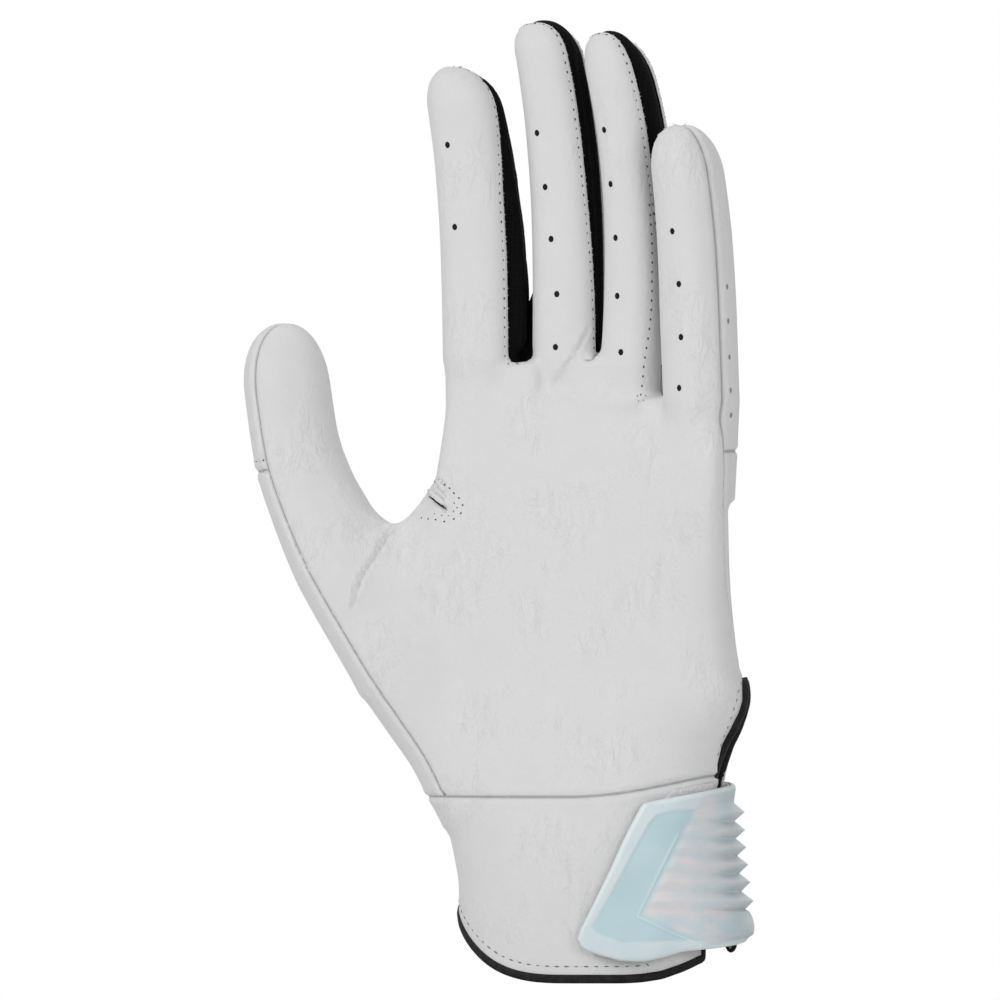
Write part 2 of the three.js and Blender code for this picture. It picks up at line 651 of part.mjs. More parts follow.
// Folded tape that holds the hem and both edges of the slit
const channel = hand(-GAP - BINDING).subtract(hand(LEATHER + GAP + BINDING));
const slot = hand(-GAP).subtract(hand(LEATHER + GAP));
const hemBand = below((x) => hemLevel(x) + BINDING_WIDTH).subtract(below(hemLevel));
const bound = hemBand.add(slit(BINDING_WIDTH)).subtract(slit(0)).subtract(below(hemLevel));
const held = slit(BINDING).add(below((x) => hemLevel(x) + BINDING));
addPiece("edge_binding", channel.intersect(bound).subtract(slot.subtract(held)), "binding");

// Closure

// Ring of the cuff's surface at a height, for an angle from the middle of the palm side
function cuffPoint(z, angle, lift) {
  const upper = trunkRows.findIndex((row) => row.z >= z);
  const [a, b] = [trunkRows[upper - 1], trunkRows[upper]];
  const share = (z - a.z) / (b.z - a.z);
  return trunkPoint(a, rad(angle), -lift).lerp(trunkPoint(b, rad(angle), -lift), share).setZ(z);
}

// Curved plate round the cuff between two lifts. Its lower and upper edges are heights given for
// an angle, its ends angles given for a share of its height. The outside may carry ribs.
function plate({ inset = 0, lift, thick, from, to, ribs = 0 }) {
  const strapMiddle = (STRAP_LOW + STRAP_HIGH) / 2;
  const bendReach = strapMiddle - STRAP_LOW - STRAP_SAG;
  const bends = trunkRows.map((row) => row.z).filter((z) => Math.abs(z - strapMiddle) < bendReach);
  const rings = Array.from({ length: STRAP_STEPS + 1 }, (_, step) => {
    const angleAt = (share) => mix(from(share), to(share), step / STRAP_STEPS);
    const place = (z, height) => cuffPoint(z, angleAt((z - STRAP_LOW) / (STRAP_HIGH - STRAP_LOW)), height);
    const middle = angleAt(0.5);
    const [low, high] = [strapLow(middle) + inset, strapHigh(middle) - inset];
    const smooth = [low, ...bends, high];
    const inside = smooth.map((z) => place(z, lift));
    if (!ribs) return [...inside, ...smooth.map((z) => place(z, lift + thick)).reverse()];
    const ribRise = THREE.MathUtils.smoothstep(middle, RIB_START_ANGLE, RIB_START_ANGLE + RIB_FADE_ANGLE);
    const raised = RIB_HEIGHT * ribRise;
    const first = strapMiddle - (ribs * RIB_PITCH) / 2;
    const outside = [place(low, lift + thick), place(first, lift + thick)];
    for (let rib = 0; rib < ribs; rib++) {
      outside.push(place(first + (rib + 0.5) * RIB_PITCH, lift + thick + raised));
      outside.push(place(first + (rib + 1) * RIB_PITCH, lift + thick));
    }
    outside.push(place(high, lift + thick));
    return [...inside, ...outside.reverse()];
  });
  return loft(rings, ribs ? "middle" : "sheet");
}

const LOOP_LIFT = GAP;
const HOOK_LIFT = LOOP_LIFT + LOOP_THICK + GAP;
const STRAP_LIFT = HOOK_LIFT + HOOK_THICK + STRAP_ROOM;
const TAB_LIFT = STRAP_LIFT + STRAP_THICK + GAP;
// The free end slants: it lies further round at the top than at the bottom
const freeEnd = (share) => mix(FREE_END_LOW_ANGLE, FREE_END_TOP_ANGLE, share);
const patchEnd = (share) => freeEnd(share) + PATCH_ANGLE;
const anchorStart = STRAP_END_ANGLE + THREE.MathUtils.radToDeg(GAP / CUFF_HALF_DEPTH);
// The lower edge sags at the little-finger side, and the upper edge rises towards it
const clampAngle = (angle) => THREE.MathUtils.clamp(2 * angle, 0, 180);
const strapLow = (angle) => STRAP_LOW - STRAP_SAG * Math.sin(rad(clampAngle(angle)));
const strapRise = (angle) => THREE.MathUtils.smoothstep(angle, FREE_END_LOW_ANGLE, STRAP_WIDE_ANGLE);
const strapHigh = (angle) => STRAP_HIGH - STRAP_SAG * (1 - strapRise(angle));

const fastener = { inset: PATCH_INSET, from: patchEnd, to: straight(LOOP_END_ANGLE) };
addPiece("loop_patch", plate({ ...fastener, lift: LOOP_LIFT, thick: LOOP_THICK }), "fabric");
addPiece("hook_patch", plate({ ...fastener, lift: HOOK_LIFT, thick: HOOK_THICK }), "hook");
const strap = { lift: STRAP_LIFT, thick: STRAP_THICK, from: freeEnd, to: straight(STRAP_END_ANGLE) };
addPiece("strap_base", plate(strap), "fabric");
const anchor = { lift: GAP, thick: STRAP_LIFT + STRAP_THICK - GAP };
const anchorEnds = { from: straight(anchorStart), to: straight(ANCHOR_ANGLE) };
addPiece("strap_anchor", plate({ ...anchor, ...anchorEnds }), "fabric");
// Moulded tab with a row of ribs round the little-finger side
const tab = { lift: TAB_LIFT, thick: TAB_THICK, from: freeEnd, to: straight(TAB_END_ANGLE) };
addPiece("strap_tab", plate({ ...tab, ribs: RIB_COUNT }), "tab");

// Reinforcement over the web between thumb and index finger
const patchOutline = PATCH_SHARES.map(([x, z]) => [PATCH.x + x * PATCH.reach, PATCH.z + z * PATCH.reach]);
const patchSheet = hand(-GAP - MESH).subtract(hand(-GAP)).intersect(front).subtract(beyondHinges());
addPiece("web_patch", patchSheet.intersect(prism(patchOutline, "y", -FAR, FAR)), "leather");

export default glove;
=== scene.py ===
# %% [markdown]
# # A left-hand batting glove
# The glove stands open, as if on a hand, with the palm to the camera. Its skin is thin white
# leather, the strips between the fingers are black mesh, and a moulded tab closes the wrist.
# The real glove is sewn from flat pieces, but on the hand they share one smooth surface. So this
# lesson makes that surface first, from the hand's own sizes, and then cuts it along the seams
# into the pieces that a maker would sew.

# %% Tools
import math

import bmesh
import bpy
import numpy as np
import openvdb
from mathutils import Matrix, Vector
from mathutils.kdtree import KDTree


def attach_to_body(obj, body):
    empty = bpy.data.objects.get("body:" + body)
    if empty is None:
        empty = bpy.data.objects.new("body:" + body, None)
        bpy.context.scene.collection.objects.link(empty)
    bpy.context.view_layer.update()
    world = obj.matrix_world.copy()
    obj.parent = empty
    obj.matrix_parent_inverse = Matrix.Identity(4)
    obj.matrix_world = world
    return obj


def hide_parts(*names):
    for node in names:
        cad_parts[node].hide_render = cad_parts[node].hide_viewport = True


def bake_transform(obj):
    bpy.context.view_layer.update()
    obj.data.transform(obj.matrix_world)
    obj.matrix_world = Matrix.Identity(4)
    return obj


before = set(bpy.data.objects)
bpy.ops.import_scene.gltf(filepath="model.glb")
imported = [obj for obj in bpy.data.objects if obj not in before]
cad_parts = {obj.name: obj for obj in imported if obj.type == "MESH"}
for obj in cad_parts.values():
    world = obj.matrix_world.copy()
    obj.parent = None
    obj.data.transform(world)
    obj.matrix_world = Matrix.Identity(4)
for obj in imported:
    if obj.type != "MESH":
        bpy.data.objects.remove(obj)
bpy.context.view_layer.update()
MM = 0.001
print("the frame holds", len(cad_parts), "pieces")


def unit(vectors):
    return vectors / np.maximum(np.linalg.norm(vectors, axis=1), 1e-9)[:, None]


def run_along(line):
    """Length of a line up to each of its places."""
    return np.concatenate([[0], np.cumsum(np.linalg.norm(np.diff(line, axis=0), axis=1))])


def read_along(at, run, values):
    """Values given along a line, read at other lengths of it."""
    return np.stack([np.interp(at, run, column) for column in values.T], 1)


# %% [markdown]
# ## The camera
# A long lens flattens the glove, so an orthographic camera is closest. It looks at the palm from
# 24 degrees towards the little-finger side, level with the glove.

# %% Camera
VIEW_TURN = math.radians(24)
PIXEL = 0.24
MIDDLE_PIXEL_X, BOTTOM_PIXEL_Y = 600, 982
FRAME_PIXELS = 1000
CAMERA_DISTANCE = 2
RIGHT = np.array([math.cos(VIEW_TURN), math.sin(VIEW_TURN), 0])
TO_CAMERA = np.array([math.sin(VIEW_TURN), -math.cos(VIEW_TURN), 0])


def from_pixels(x, y):
    """How far across and how high a place in the picture is, in millimetres."""
    return (x - MIDDLE_PIXEL_X) * PIXEL, (BOTTOM_PIXEL_Y - y) * PIXEL


def add_camera():
    across, height = from_pixels(FRAME_PIXELS / 2, FRAME_PIXELS / 2)
    right, back = Vector(RIGHT), Vector(TO_CAMERA)
    data = bpy.data.cameras.new("palm_view")
    data.type = "ORTHO"
    data.ortho_scale = FRAME_PIXELS * PIXEL * MM
    data.clip_end = 10 * CAMERA_DISTANCE
    camera = bpy.data.objects.new("palm_view", data)
    camera.location = right * across * MM + Vector((0, 0, height * MM)) + back * CAMERA_DISTANCE
    camera.rotation_euler = back.to_track_quat("Z", "Y").to_euler()
    bpy.context.scene.collection.objects.link(camera)
    bpy.context.scene.camera = camera


add_camera()


def to_pixels(points):
    """Where points in millimetres show in the picture, in pixels across and down."""
    across = points[:, 0] * RIGHT[0] + points[:, 1] * RIGHT[1]
    return np.stack([MIDDLE_PIXEL_X + across / PIXEL, BOTTOM_PIXEL_Y - points[:, 2] / PIXEL], 1)


# %% [markdown]
# ## The hand inside
# Every size here is in millimetres. Nearly all are those of the solid model. The heel beside the
# slit and the edge of the web are fuller, as in the picture. The trunk of the hand is a row of
# rounded oval sections, each finger is a tapering tube with a rounded tip, and the thumb is a
# tube along a curved line.

# %% Sizes of the hand
LEATHER, MESH, LAP = 1.0, 0.8, 2.5
CUFF_HEIGHT, PALM_HEIGHT = 44.4, 99.3
CUFF_HALF_WIDTH, CUFF_HALF_DEPTH = 31.5, 21.5
PALM_HALF_WIDTH, PALM_HALF_DEPTH = 39, 14
PALM_ARCH, ARCH_SKEW, ARCH_SPAN, PALM_TOP_FALL = 7.3, 2.4, 30, 6.5
ROUNDNESS, TIP_ROUNDNESS = 2.3, 2.2
WRIST_SHIFT = 5.6
CUFF_SHARES = [
    [-0.08, 1, 1, 0.62, 0], [0.55, 1, 1, 0.62, 0], [0.78, 1.05, 0.98, 0.75, 0],
    [1.06, 1.18, 0.92, 1, 0.05],
]
PALM_SHARES = [
    [0.15, 0.97, 1.26, 0.85, 0.15], [0.28, 1.03, 1.14, 0.7, 0.3], [0.43, 1.03, 1.07, 0.62, 0.5],
    [0.6, 1.01, 1.03, 0.3, 0.75], [0.76, 0.985, 0.99, -0.1, 0.95], [0.87, 0.975, 0.92, -0.3, 1],
    [0.95, 0.96, 0.74, -0.36, 1], [1, 0.85, 0.34, -0.36, 1],
]
WEB = dict(foot=(-45, -5, 72), top=(-50.5, -8.5, 109), width=12, depth=8.5)
WEB_SHARES = np.array([
    [0, 1, 1], [0.4, 1, 1], [0.7, 0.95, 0.86], [0.88, 0.8, 0.62], [0.97, 0.6, 0.38], [1, 0.3, 0.16],
])
STALK, STALK_SINK = 24, 3.5
FINGERS = {
    "index": dict(
        x=-28.2, y=-5, a=9.8, b=9.0, hinge=149.5, length=70.6, lean=-4.2, bow=-0.2, curl=6.5,
        roll=5, dome=11,
    ),
    "middle": dict(
        x=-7.6, y=-1, a=8.8, b=8.9, hinge=149.5, length=82.1, lean=-4.2, bow=0.4, curl=7, roll=0,
        dome=9.5,
    ),
    "ring": dict(
        x=10.5, y=-1.5, a=8.7, b=8.7, hinge=148, length=81.2, lean=-4.6, bow=1.7, curl=7.5, roll=-8,
        dome=13,
    ),
    "little": dict(
        x=31.8, y=-11.5, a=9.0, b=8.6, hinge=139.5, length=66.7, lean=-3.2, bow=-0.8, curl=6,
        roll=-25, dome=12,
    ),
}
GIRTH_SHARES = np.array([[-0.36, 0.72], [0, 1], [0.3, 1.01], [0.6, 1], [0.8, 0.97], [1, 0.92]])
THUMB = dict(reach=76.7, forward=16, height=158, a=10.4, b=9.8, roll=32, dome=16, hinge_share=0.535)
THUMB_PATH_SHARES = np.array([
    [0.385, 0.1, 0.3], [0.675, 0.42, 0.52], [0.866, 0.62, 0.68], [0.955, 0.75, 0.786],
    [0.985, 0.87, 0.885], [1, 1, 1],
])
THUMB_GIRTH_SHARES = np.array([
    [0, 1.12], [0.3, 1.26], [0.52, 1.2], [0.66, 1.06], [0.78, 1], [1, 0.98],
])


# %% Sections of the trunk, smoothed from row to row
ROW_STEP, SOFT_ROWS = 0.5, 9


def trunk_table():
    cuff = np.array(CUFF_SHARES) * [CUFF_HEIGHT, CUFF_HALF_WIDTH, CUFF_HALF_DEPTH, -WRIST_SHIFT, 1]
    palm = np.array(PALM_SHARES) * [PALM_HEIGHT, PALM_HALF_WIDTH, PALM_HALF_DEPTH, -WRIST_SHIFT, 1]
    rows = np.vstack([cuff, palm + [CUFF_HEIGHT, 0, 0, 0, 0]])
    heights = np.arange(-10, rows[-1, 0] + 12, ROW_STEP)
    table = [np.interp(heights, rows[:, 0], rows[:, k]) for k in range(1, 5)]
    kernel = np.hanning(2 * SOFT_ROWS + 1)
    kernel /= kernel.sum()
    soft = [np.convolve(np.pad(t, SOFT_ROWS, mode="edge"), kernel, mode="valid") for t in table]
    return heights, soft


TRUNK_HEIGHTS, TRUNK_SOFT = trunk_table()
TRUNK_TOP, TRUNK_TOP_BLEND = CUFF_HEIGHT + PALM_HEIGHT, 3.0
# Beside the top of the slit the heel of the hand stands out, as the strap pulls the cuff in below
FLARE = np.array([
    [52, 0], [57, 0.6], [61, 2.2], [65, 3.2], [68, 3.6], [71.5, 2.9], [76, 1.4], [82, 0.7],
    [90, 0.2], [96, 0],
])


def trunk_row(z):
    a, b, shift, arch = (np.interp(z, TRUNK_HEIGHTS, column) for column in TRUNK_SOFT)
    flare = np.interp(z, *FLARE.T)
    return [a + flare / 2, b, shift + flare / 2, arch]


def arch_depth(x, share):
    across = np.clip(x, -PALM_HALF_WIDTH, PALM_HALF_WIDTH) / ARCH_SPAN
    return -share * (PALM_ARCH * across**2 + ARCH_SKEW * across)


def rounded(u, v, a, b, n=ROUNDNESS):
    """How far out a point is in an oval of half sizes a and b, 1 on its edge, and the slope."""
    u, v = np.abs(u) / a, np.abs(v) / b
    r = (u**n + v**n) ** (1 / n)
    r = np.maximum(r, 1e-3)
    slope = r ** (1 - n) * np.sqrt((u ** (n - 1) / a) ** 2 + (v ** (n - 1) / b) ** 2)
    return r, np.maximum(slope, 1e-3)


def trunk_distance(p):
    x, y, z = p[..., 0], p[..., 1], p[..., 2]
    arch = trunk_row(z)[3]
    level = z + PALM_TOP_FALL * arch**2 * x / PALM_HALF_WIDTH
    a, b, shift, arch = trunk_row(np.minimum(level, TRUNK_TOP))
    r, slope = rounded(x - shift, y - arch_depth(x, arch), a, b)
    return soft_max((r - 1) / slope, level - TRUNK_TOP, TRUNK_TOP_BLEND)


def soft_min(a, b, blend):
    h = np.clip(0.5 + 0.5 * (b - a) / blend, 0, 1)
    return b + (a - b) * h - blend * h * (1 - h)


def soft_max(a, b, blend):
    return -soft_min(-a, -b, blend)


# %% A finger: place along it, angle round it and distance from its skin
def finger_middle(f, z):
    """Share of the finger's length at a height, and the middle of its section there."""
    share = (z - f["hinge"]) / f["length"]
    above = np.clip(share, 0, 1)
    sunk = np.maximum(-share * f["length"] / STALK, 0)
    cx = f["x"] + f["lean"] * above**3 + 4 * f["bow"] * above * (1 - above)
    return share, cx, f["y"] - f["curl"] * above**3 + STALK_SINK * sunk


def finger_place(f, p):
    share, cx, cy = finger_middle(f, p[..., 2])
    roll = math.radians(f["roll"])
    dx, dy = p[..., 0] - cx, p[..., 1] - cy
    u = dx * math.cos(roll) + dy * math.sin(roll)
    v = -dx * math.sin(roll) + dy * math.cos(roll)
    girth = np.interp(share, *GIRTH_SHARES.T)
    return share, u, v, f["a"] * girth, f["b"] * girth


def round_angle(u, v, a, b):
    """Angle round an oval section, from its palm-side middle towards the little finger."""
    s = np.sign(u) * (np.abs(u) / a) ** (ROUNDNESS / 2)
    c = -np.sign(v) * (np.abs(v) / b) ** (ROUNDNESS / 2)
    return np.degrees(np.arctan2(s, c))


def tip_distance(u, v, a, b, over, dome):
    r, slope = rounded(u, v, a, b)
    rise = np.maximum(over, 0) / dome
    whole = (r**TIP_ROUNDNESS + rise**TIP_ROUNDNESS) ** (1 / TIP_ROUNDNESS)
    side = (r / whole) ** (TIP_ROUNDNESS - 1) * slope
    up = (rise / whole) ** (TIP_ROUNDNESS - 1) / dome
    return (whole - 1) / np.sqrt(side**2 + up**2)


def finger_distance(f, p):
    share, u, v, a, b = finger_place(f, p)
    over = (share - 1) * f["length"] + f["dome"]
    d = tip_distance(u, v, a, b, over, f["dome"])
    foot = f["hinge"] - STALK - p[..., 2]
    return np.maximum(d, foot)


# %% The thumb's line, a curve through its points
THUMB_PLACES, CURVE_STEPS = 120, 60


def thumb_line():
    pts = THUMB_PATH_SHARES * np.array([-THUMB["reach"], -THUMB["forward"], THUMB["height"]])
    pts = np.vstack([2 * pts[0] - pts[1], pts, 2 * pts[-1] - pts[-2]])
    dense = []
    for i in range(1, len(pts) - 2):
        p0, p1, p2, p3 = pts[i - 1 : i + 3]
        t = [np.linalg.norm(b - a) ** 0.5 for a, b in ((p0, p1), (p1, p2), (p2, p3))]
        m1 = ((p1 - p0) / t[0] - (p2 - p0) / (t[0] + t[1]) + (p2 - p1) / t[1]) * t[1]
        m2 = ((p2 - p1) / t[1] - (p3 - p1) / (t[1] + t[2]) + (p3 - p2) / t[2]) * t[1]
        for s in np.linspace(0, 1, CURVE_STEPS, endpoint=False):
            start = p1 * (2 * s**3 - 3 * s**2 + 1) + m1 * (s**3 - 2 * s**2 + s)
            dense.append(start + p2 * (3 * s**2 - 2 * s**3) + m2 * (s**3 - s**2))
    dense = np.array(dense + [pts[-2]])
    run = run_along(dense)
    return read_along(np.linspace(0, run[-1], THUMB_PLACES), run, dense), run[-1]


THUMB_LINE, THUMB_RUN = thumb_line()
THUMB_LENGTH = THUMB_RUN * (1 - THUMB["hinge_share"])
AT_ONCE = 200000


def thumb_place(p):
    """Place along the thumb and across it, half sizes, length run, and depth below its foot."""
    flat = p.reshape(-1, 3)
    step = THUMB_RUN / (len(THUMB_LINE) - 1)
    tangents = unit(np.gradient(THUMB_LINE, axis=0))
    best = np.empty(len(flat), int)
    for start in range(0, len(flat), AT_ONCE):
        part = flat[start : start + AT_ONCE]
        d = (part**2).sum(1)[:, None] - 2 * part @ THUMB_LINE.T + (THUMB_LINE**2).sum(1)[None]
        best[start : start + AT_ONCE] = d.argmin(1)
    up = tangents[best]
    offset = flat - THUMB_LINE[best]
    along = (offset * up).sum(1)
    run = best * step + np.clip(along, -step, step)
    over = along - np.clip(along, -step, step)
    offset = offset - up * along[:, None]
    back = unit(np.array([0, 1, 0]) - up * up[:, 1:2])
    side = np.cross(back, up)
    roll = math.radians(THUMB["roll"])
    lateral = side * math.cos(roll) + back * math.sin(roll)
    dorsal = back * math.cos(roll) - side * math.sin(roll)
    u, v = (offset * lateral).sum(1), (offset * dorsal).sum(1)
    path_share = run / THUMB_RUN
    girth = np.interp(path_share, *THUMB_GIRTH_SHARES.T)
    share = (path_share - THUMB["hinge_share"]) / (1 - THUMB["hinge_share"])
    half_sizes = THUMB["a"] * girth, THUMB["b"] * girth
    values = (share, u, v, *half_sizes, run + np.maximum(over, 0), np.minimum(over, 0))
    return [value.reshape(p.shape[:-1]) for value in values]


def thumb_distance(p):
    _, u, v, a, b, run, under = thumb_place(p)
    d = tip_distance(u, v, a, b, run - THUMB_RUN + THUMB["dome"], THUMB["dome"])
    return np.where(under < 0, np.maximum(d, -under), d)


# %% Webs: the broad one beside the thumb, and the small ones between the fingers
def web_distance(p):
    foot, top = np.array(WEB["foot"], float), np.array(WEB["top"], float)
    up = np.clip((p[..., 2] - foot[2]) / (top[2] - foot[2]), 0, 1)
    shares, widths, depths = WEB_SHARES.T
    a = WEB["width"] * np.interp(up, shares, widths)
    b = WEB["depth"] * np.interp(up, shares, depths)
    cx, cy = foot[0] + (top[0] - foot[0]) * up, foot[1] + (top[1] - foot[1]) * up
    r, slope = rounded(p[..., 0] - cx, p[..., 1] - cy, a, b, 2)
    return np.maximum((r - 1) / slope, np.maximum(p[..., 2] - top[2], foot[2] - p[..., 2]))


# The leather of the web runs straight from the index finger down to the foot of the thumb. Its
# sheet thickens away from that edge, and "middle" and "half_length" are counted along it.
WEB_EDGE = np.array([[-40.3, 118.6], [-50.6, 107.0]])
SHEET = dict(half=2.2, widening=0.3, widens_to=12, deep=14, y=-8.0, middle=9.5, half_length=9.0)
SHEET_ROUND = 2


def web_sheet_distance(p):
    along = WEB_EDGE[1] - WEB_EDGE[0]
    along /= np.linalg.norm(along)
    x, z = p[..., 0] - WEB_EDGE[0, 0], p[..., 2] - WEB_EDGE[0, 1]
    above = x * along[1] - z * along[0]
    run = x * along[0] + z * along[1]
    half = SHEET["half"] + SHEET["widening"] * np.clip(-above, 0, SHEET["widens_to"])
    beside = np.abs(p[..., 1] - SHEET["y"]) - half + SHEET_ROUND
    beyond = np.maximum(np.abs(run - SHEET["middle"]) - SHEET["half_length"], 0)
    q = np.stack([np.maximum(above + SHEET_ROUND, 0), np.maximum(beside, 0), beyond], -1)
    deep = np.maximum(-above - SHEET["deep"], 0)
    return np.sqrt((q**2).sum(-1) + deep**2) - SHEET_ROUND


SLOTS = [
    dict(left="index", right="middle", x=-17.4, y=-3.6, top=149.6),
    dict(left="middle", right="ring", x=1.4, y=-1.6, top=150.6),
    dict(left="ring", right="little", x=21.0, y=-6.4, top=140.4),
]
SLOT_HALF_WIDTH, SLOT_HALF_DEPTH, SLOT_HALF_HEIGHT, SLOT_ROUND = 6.0, 7.4, 11.0, 3


def slot_distance(slot, p):
    q = np.stack([
        np.abs(p[..., 0] - slot["x"]) - SLOT_HALF_WIDTH + SLOT_ROUND,
        np.abs(p[..., 1] - slot["y"]) - SLOT_HALF_DEPTH + SLOT_ROUND,
        np.abs(p[..., 2] - slot["top"] + SLOT_HALF_HEIGHT) - SLOT_HALF_HEIGHT + SLOT_ROUND,
    ], -1)
    outside = np.sqrt((np.maximum(q, 0) ** 2).sum(-1))
    return outside + np.minimum(q.max(-1), 0) - SLOT_ROUND


# %% [markdown]
# ## One skin
# Each shape tells how far any point is from it. The smallest of these distances, blended where
# two shapes meet, is the whole hand, and its zero surface is the skin. The distances are filled
# into a grid, the grid is turned into quads, and each vertex is then moved exactly onto the skin.

# %% Fill the grid
VOXEL = 0.85
GRID_LOW = np.array([-94.0, -40.0, -8.0])
GRID_SHAPE = (172, 88, 295)
FAR, FIELD_LIMIT = 14.0, 12
PALM_BLEND, FINGER_BLEND, SHEET_BLEND, NEIGHBOUR_BLEND, SLOT_BLEND = 6.0, 3.0, 3.5, 0.4, 1.6


def grid_points(low, high):
    axes = [GRID_LOW[k] + VOXEL * np.arange(low[k], high[k]) for k in range(3)]
    return np.stack(np.meshgrid(*axes, indexing="ij"), -1)


def shape_field(distance, low, high):
    """A shape's distances in its own corner of the grid, and far away elsewhere."""
    i = np.clip(((np.array(low) - GRID_LOW) / VOXEL).astype(int), 0, GRID_SHAPE)
    j = np.clip(((np.array(high) - GRID_LOW) / VOXEL).astype(int) + 2, 0, GRID_SHAPE)
    field = np.full(GRID_SHAPE, FAR, np.float32)
    field[i[0] : j[0], i[1] : j[1], i[2] : j[2]] = distance(grid_points(i, j))
    return field


def hand_field():
    hand = shape_field(trunk_distance, (-94, -40, -8), (60, 40, 164))
    for distance, low, high, blend in (
        (thumb_distance, (-94, -38, 20), (-8, 22, 174), PALM_BLEND),
        (web_distance, (-74, -26, 62), (-24, 16, 118), PALM_BLEND),
        (web_sheet_distance, (-66, -22, 88), (-30, 8, 126), SHEET_BLEND),
    ):
        hand = soft_min(hand, shape_field(distance, low, high), blend)
    fingers = np.full(GRID_SHAPE, FAR, np.float32)
    for f in FINGERS.values():
        low = (f["x"] - 26, f["y"] - 26, f["hinge"] - STALK - 8)
        high = (f["x"] + 22, f["y"] + 20, f["hinge"] + f["length"] + 10)
        finger = shape_field(lambda p: finger_distance(f, p), low, high)
        fingers = soft_min(fingers, finger, NEIGHBOUR_BLEND)
    hand = soft_min(hand, fingers, FINGER_BLEND)
    for slot in SLOTS:
        low = (slot["x"] - 16, slot["y"] - 18, slot["top"] - 32)
        high = (slot["x"] + 16, slot["y"] + 18, slot["top"] + 10)
        hand = soft_min(hand, shape_field(lambda p: slot_distance(slot, p), low, high), SLOT_BLEND)
    return np.clip(hand, -FIELD_LIMIT, FIELD_LIMIT).astype(np.float32)


HAND = hand_field()
SLOPE = [g.astype(np.float32) for g in np.gradient(HAND, VOXEL)]


def sample(field, p):
    """Value of a grid at any points, straight between its cells."""
    q = (p - GRID_LOW) / VOXEL
    q = np.clip(q, 0, np.array(GRID_SHAPE) - 1.001)
    i = q.astype(int)
    f = q - i
    value = 0
    for corner in range(8):
        o = np.array([corner & 1, corner >> 1 & 1, corner >> 2])
        weight = np.prod(np.where(o, f, 1 - f), axis=1)
        j = i + o
        value = value + weight * field[j[:, 0], j[:, 1], j[:, 2]]
    return value


def skin_slope(p):
    return np.stack([sample(g, p) for g in SLOPE], 1)


def skin_normals(p):
    return unit(skin_slope(p))


def onto_skin(p):
    for _ in range(2):
        slope = skin_slope(p)
        p = p - slope * (sample(HAND, p) / np.maximum((slope**2).sum(1), 0.1))[:, None]
    return p


# %% Turn the grid into a mesh of triangles
def skin_mesh():
    grid = openvdb.FloatGrid(FIELD_LIMIT)
    grid.copyFromArray(HAND)
    points, quads = grid.convertToQuads(0.0)
    points = onto_skin(points.astype(float) * VOXEL + GRID_LOW)
    faces = np.vstack([quads[:, [0, 1, 2]], quads[:, [0, 2, 3]]]).astype(int)
    a, b, c = points[faces[0]]
    out = skin_normals(points[faces[0]].mean(0)[None])[0]
    return points, faces if np.dot(np.cross(b - a, c - a), out) > 0 else faces[:, ::-1]


SKIN_POINTS, SKIN_FACES = skin_mesh()
print("skin:", len(SKIN_POINTS), "points,", len(SKIN_FACES), "triangles")
print("skin box:", SKIN_POINTS.min(0).round(1), SKIN_POINTS.max(0).round(1))


# %% [markdown]
# ## Seams
# A real glove is cut from panels that meet at seams. Here each seam is a rule: it says for any
# point of the skin to which panel it belongs. The angles round a finger are counted from the
# middle of its palm side towards the little finger.

# %% Angles and heights of the seams
RADIAL_SEAM, ULNAR_SEAM, LITTLE_SEAM = -80, 58, 86
BACK_SEAM, INDEX_BACK_SEAM, INDEX_WRAP = 121, 119, -105
THUMB_SEAM, THUMB_BACK_SEAM, STRIP_END = -56, 105, -128
THUMB_STEP = 0.42
TIP_CLOSE, BACK_CLOSE, TIP_CURVE = 24, 16, 2.4
BAND_LOW, BAND_HIGH, BAND_END = 116, 134, 30
SIDE_SHARE = 0.35
# The side seam runs a little forward below the little finger, and back below the index finger
LITTLE_FORWARD, INDEX_BACKWARD, SLIT_REACH = (0.6, 122, 139), (0.85, 132, 149), 26
HEM_RISE, HEM_MIDDLE, HEM_LIMIT, HEM_BACK_RISE, HEM_CORNER_RISE = 11, 1.9, 1.2, 1.8, 7.5
WRIST_RISE = 5
SLIT_TOP, SLIT_Y, SLIT_TOP_Y, SLIT_WIDTH, SLIT_TOP_WIDTH = 71.5, -0.8, -1.2, 10, 1
SLIT_BENDS = (0.45, 0.75)
# How far out, as a share of the section, a point still counts as on the strip, thumb or finger
STRIP_REACH, THUMB_REACH, FINGER_REACH = 1.5, 1.16, 1.35
FINGER_PARTS = ("_front", "_back", "_radial_fourchette", "_ulnar_fourchette")
PIECES = [
    "palm_leather", "thumb_side_strip", "back_panel", "knuckle_band", "knuckle_yoke",
    "cuff_palm", "cuff_back", "crotch_gussets", "web_patch",
]
PIECES += [name + part for name in FINGERS for part in FINGER_PARTS]
PIECES += ["thumb_front", "thumb_tip_back", "thumb_back"]
ID = {name: i for i, name in enumerate(PIECES)}
NONE = -1


def smooth(x, low, high):
    t = np.clip((x - low) / (high - low), 0, 1)
    return t * t * (3 - 2 * t)


def oval(value):
    return np.sign(value) * np.abs(value) ** (2 / ROUNDNESS)


HEM_SHARES = [0, 0.40, 0.52, 0.66, 0.76, 0.805, 0.83, 0.85, 0.875]
HEM_LEVELS = [0, 0, 0.2, 1.0, 2.6, 3.8, 5.0, 7.0, 8.6]


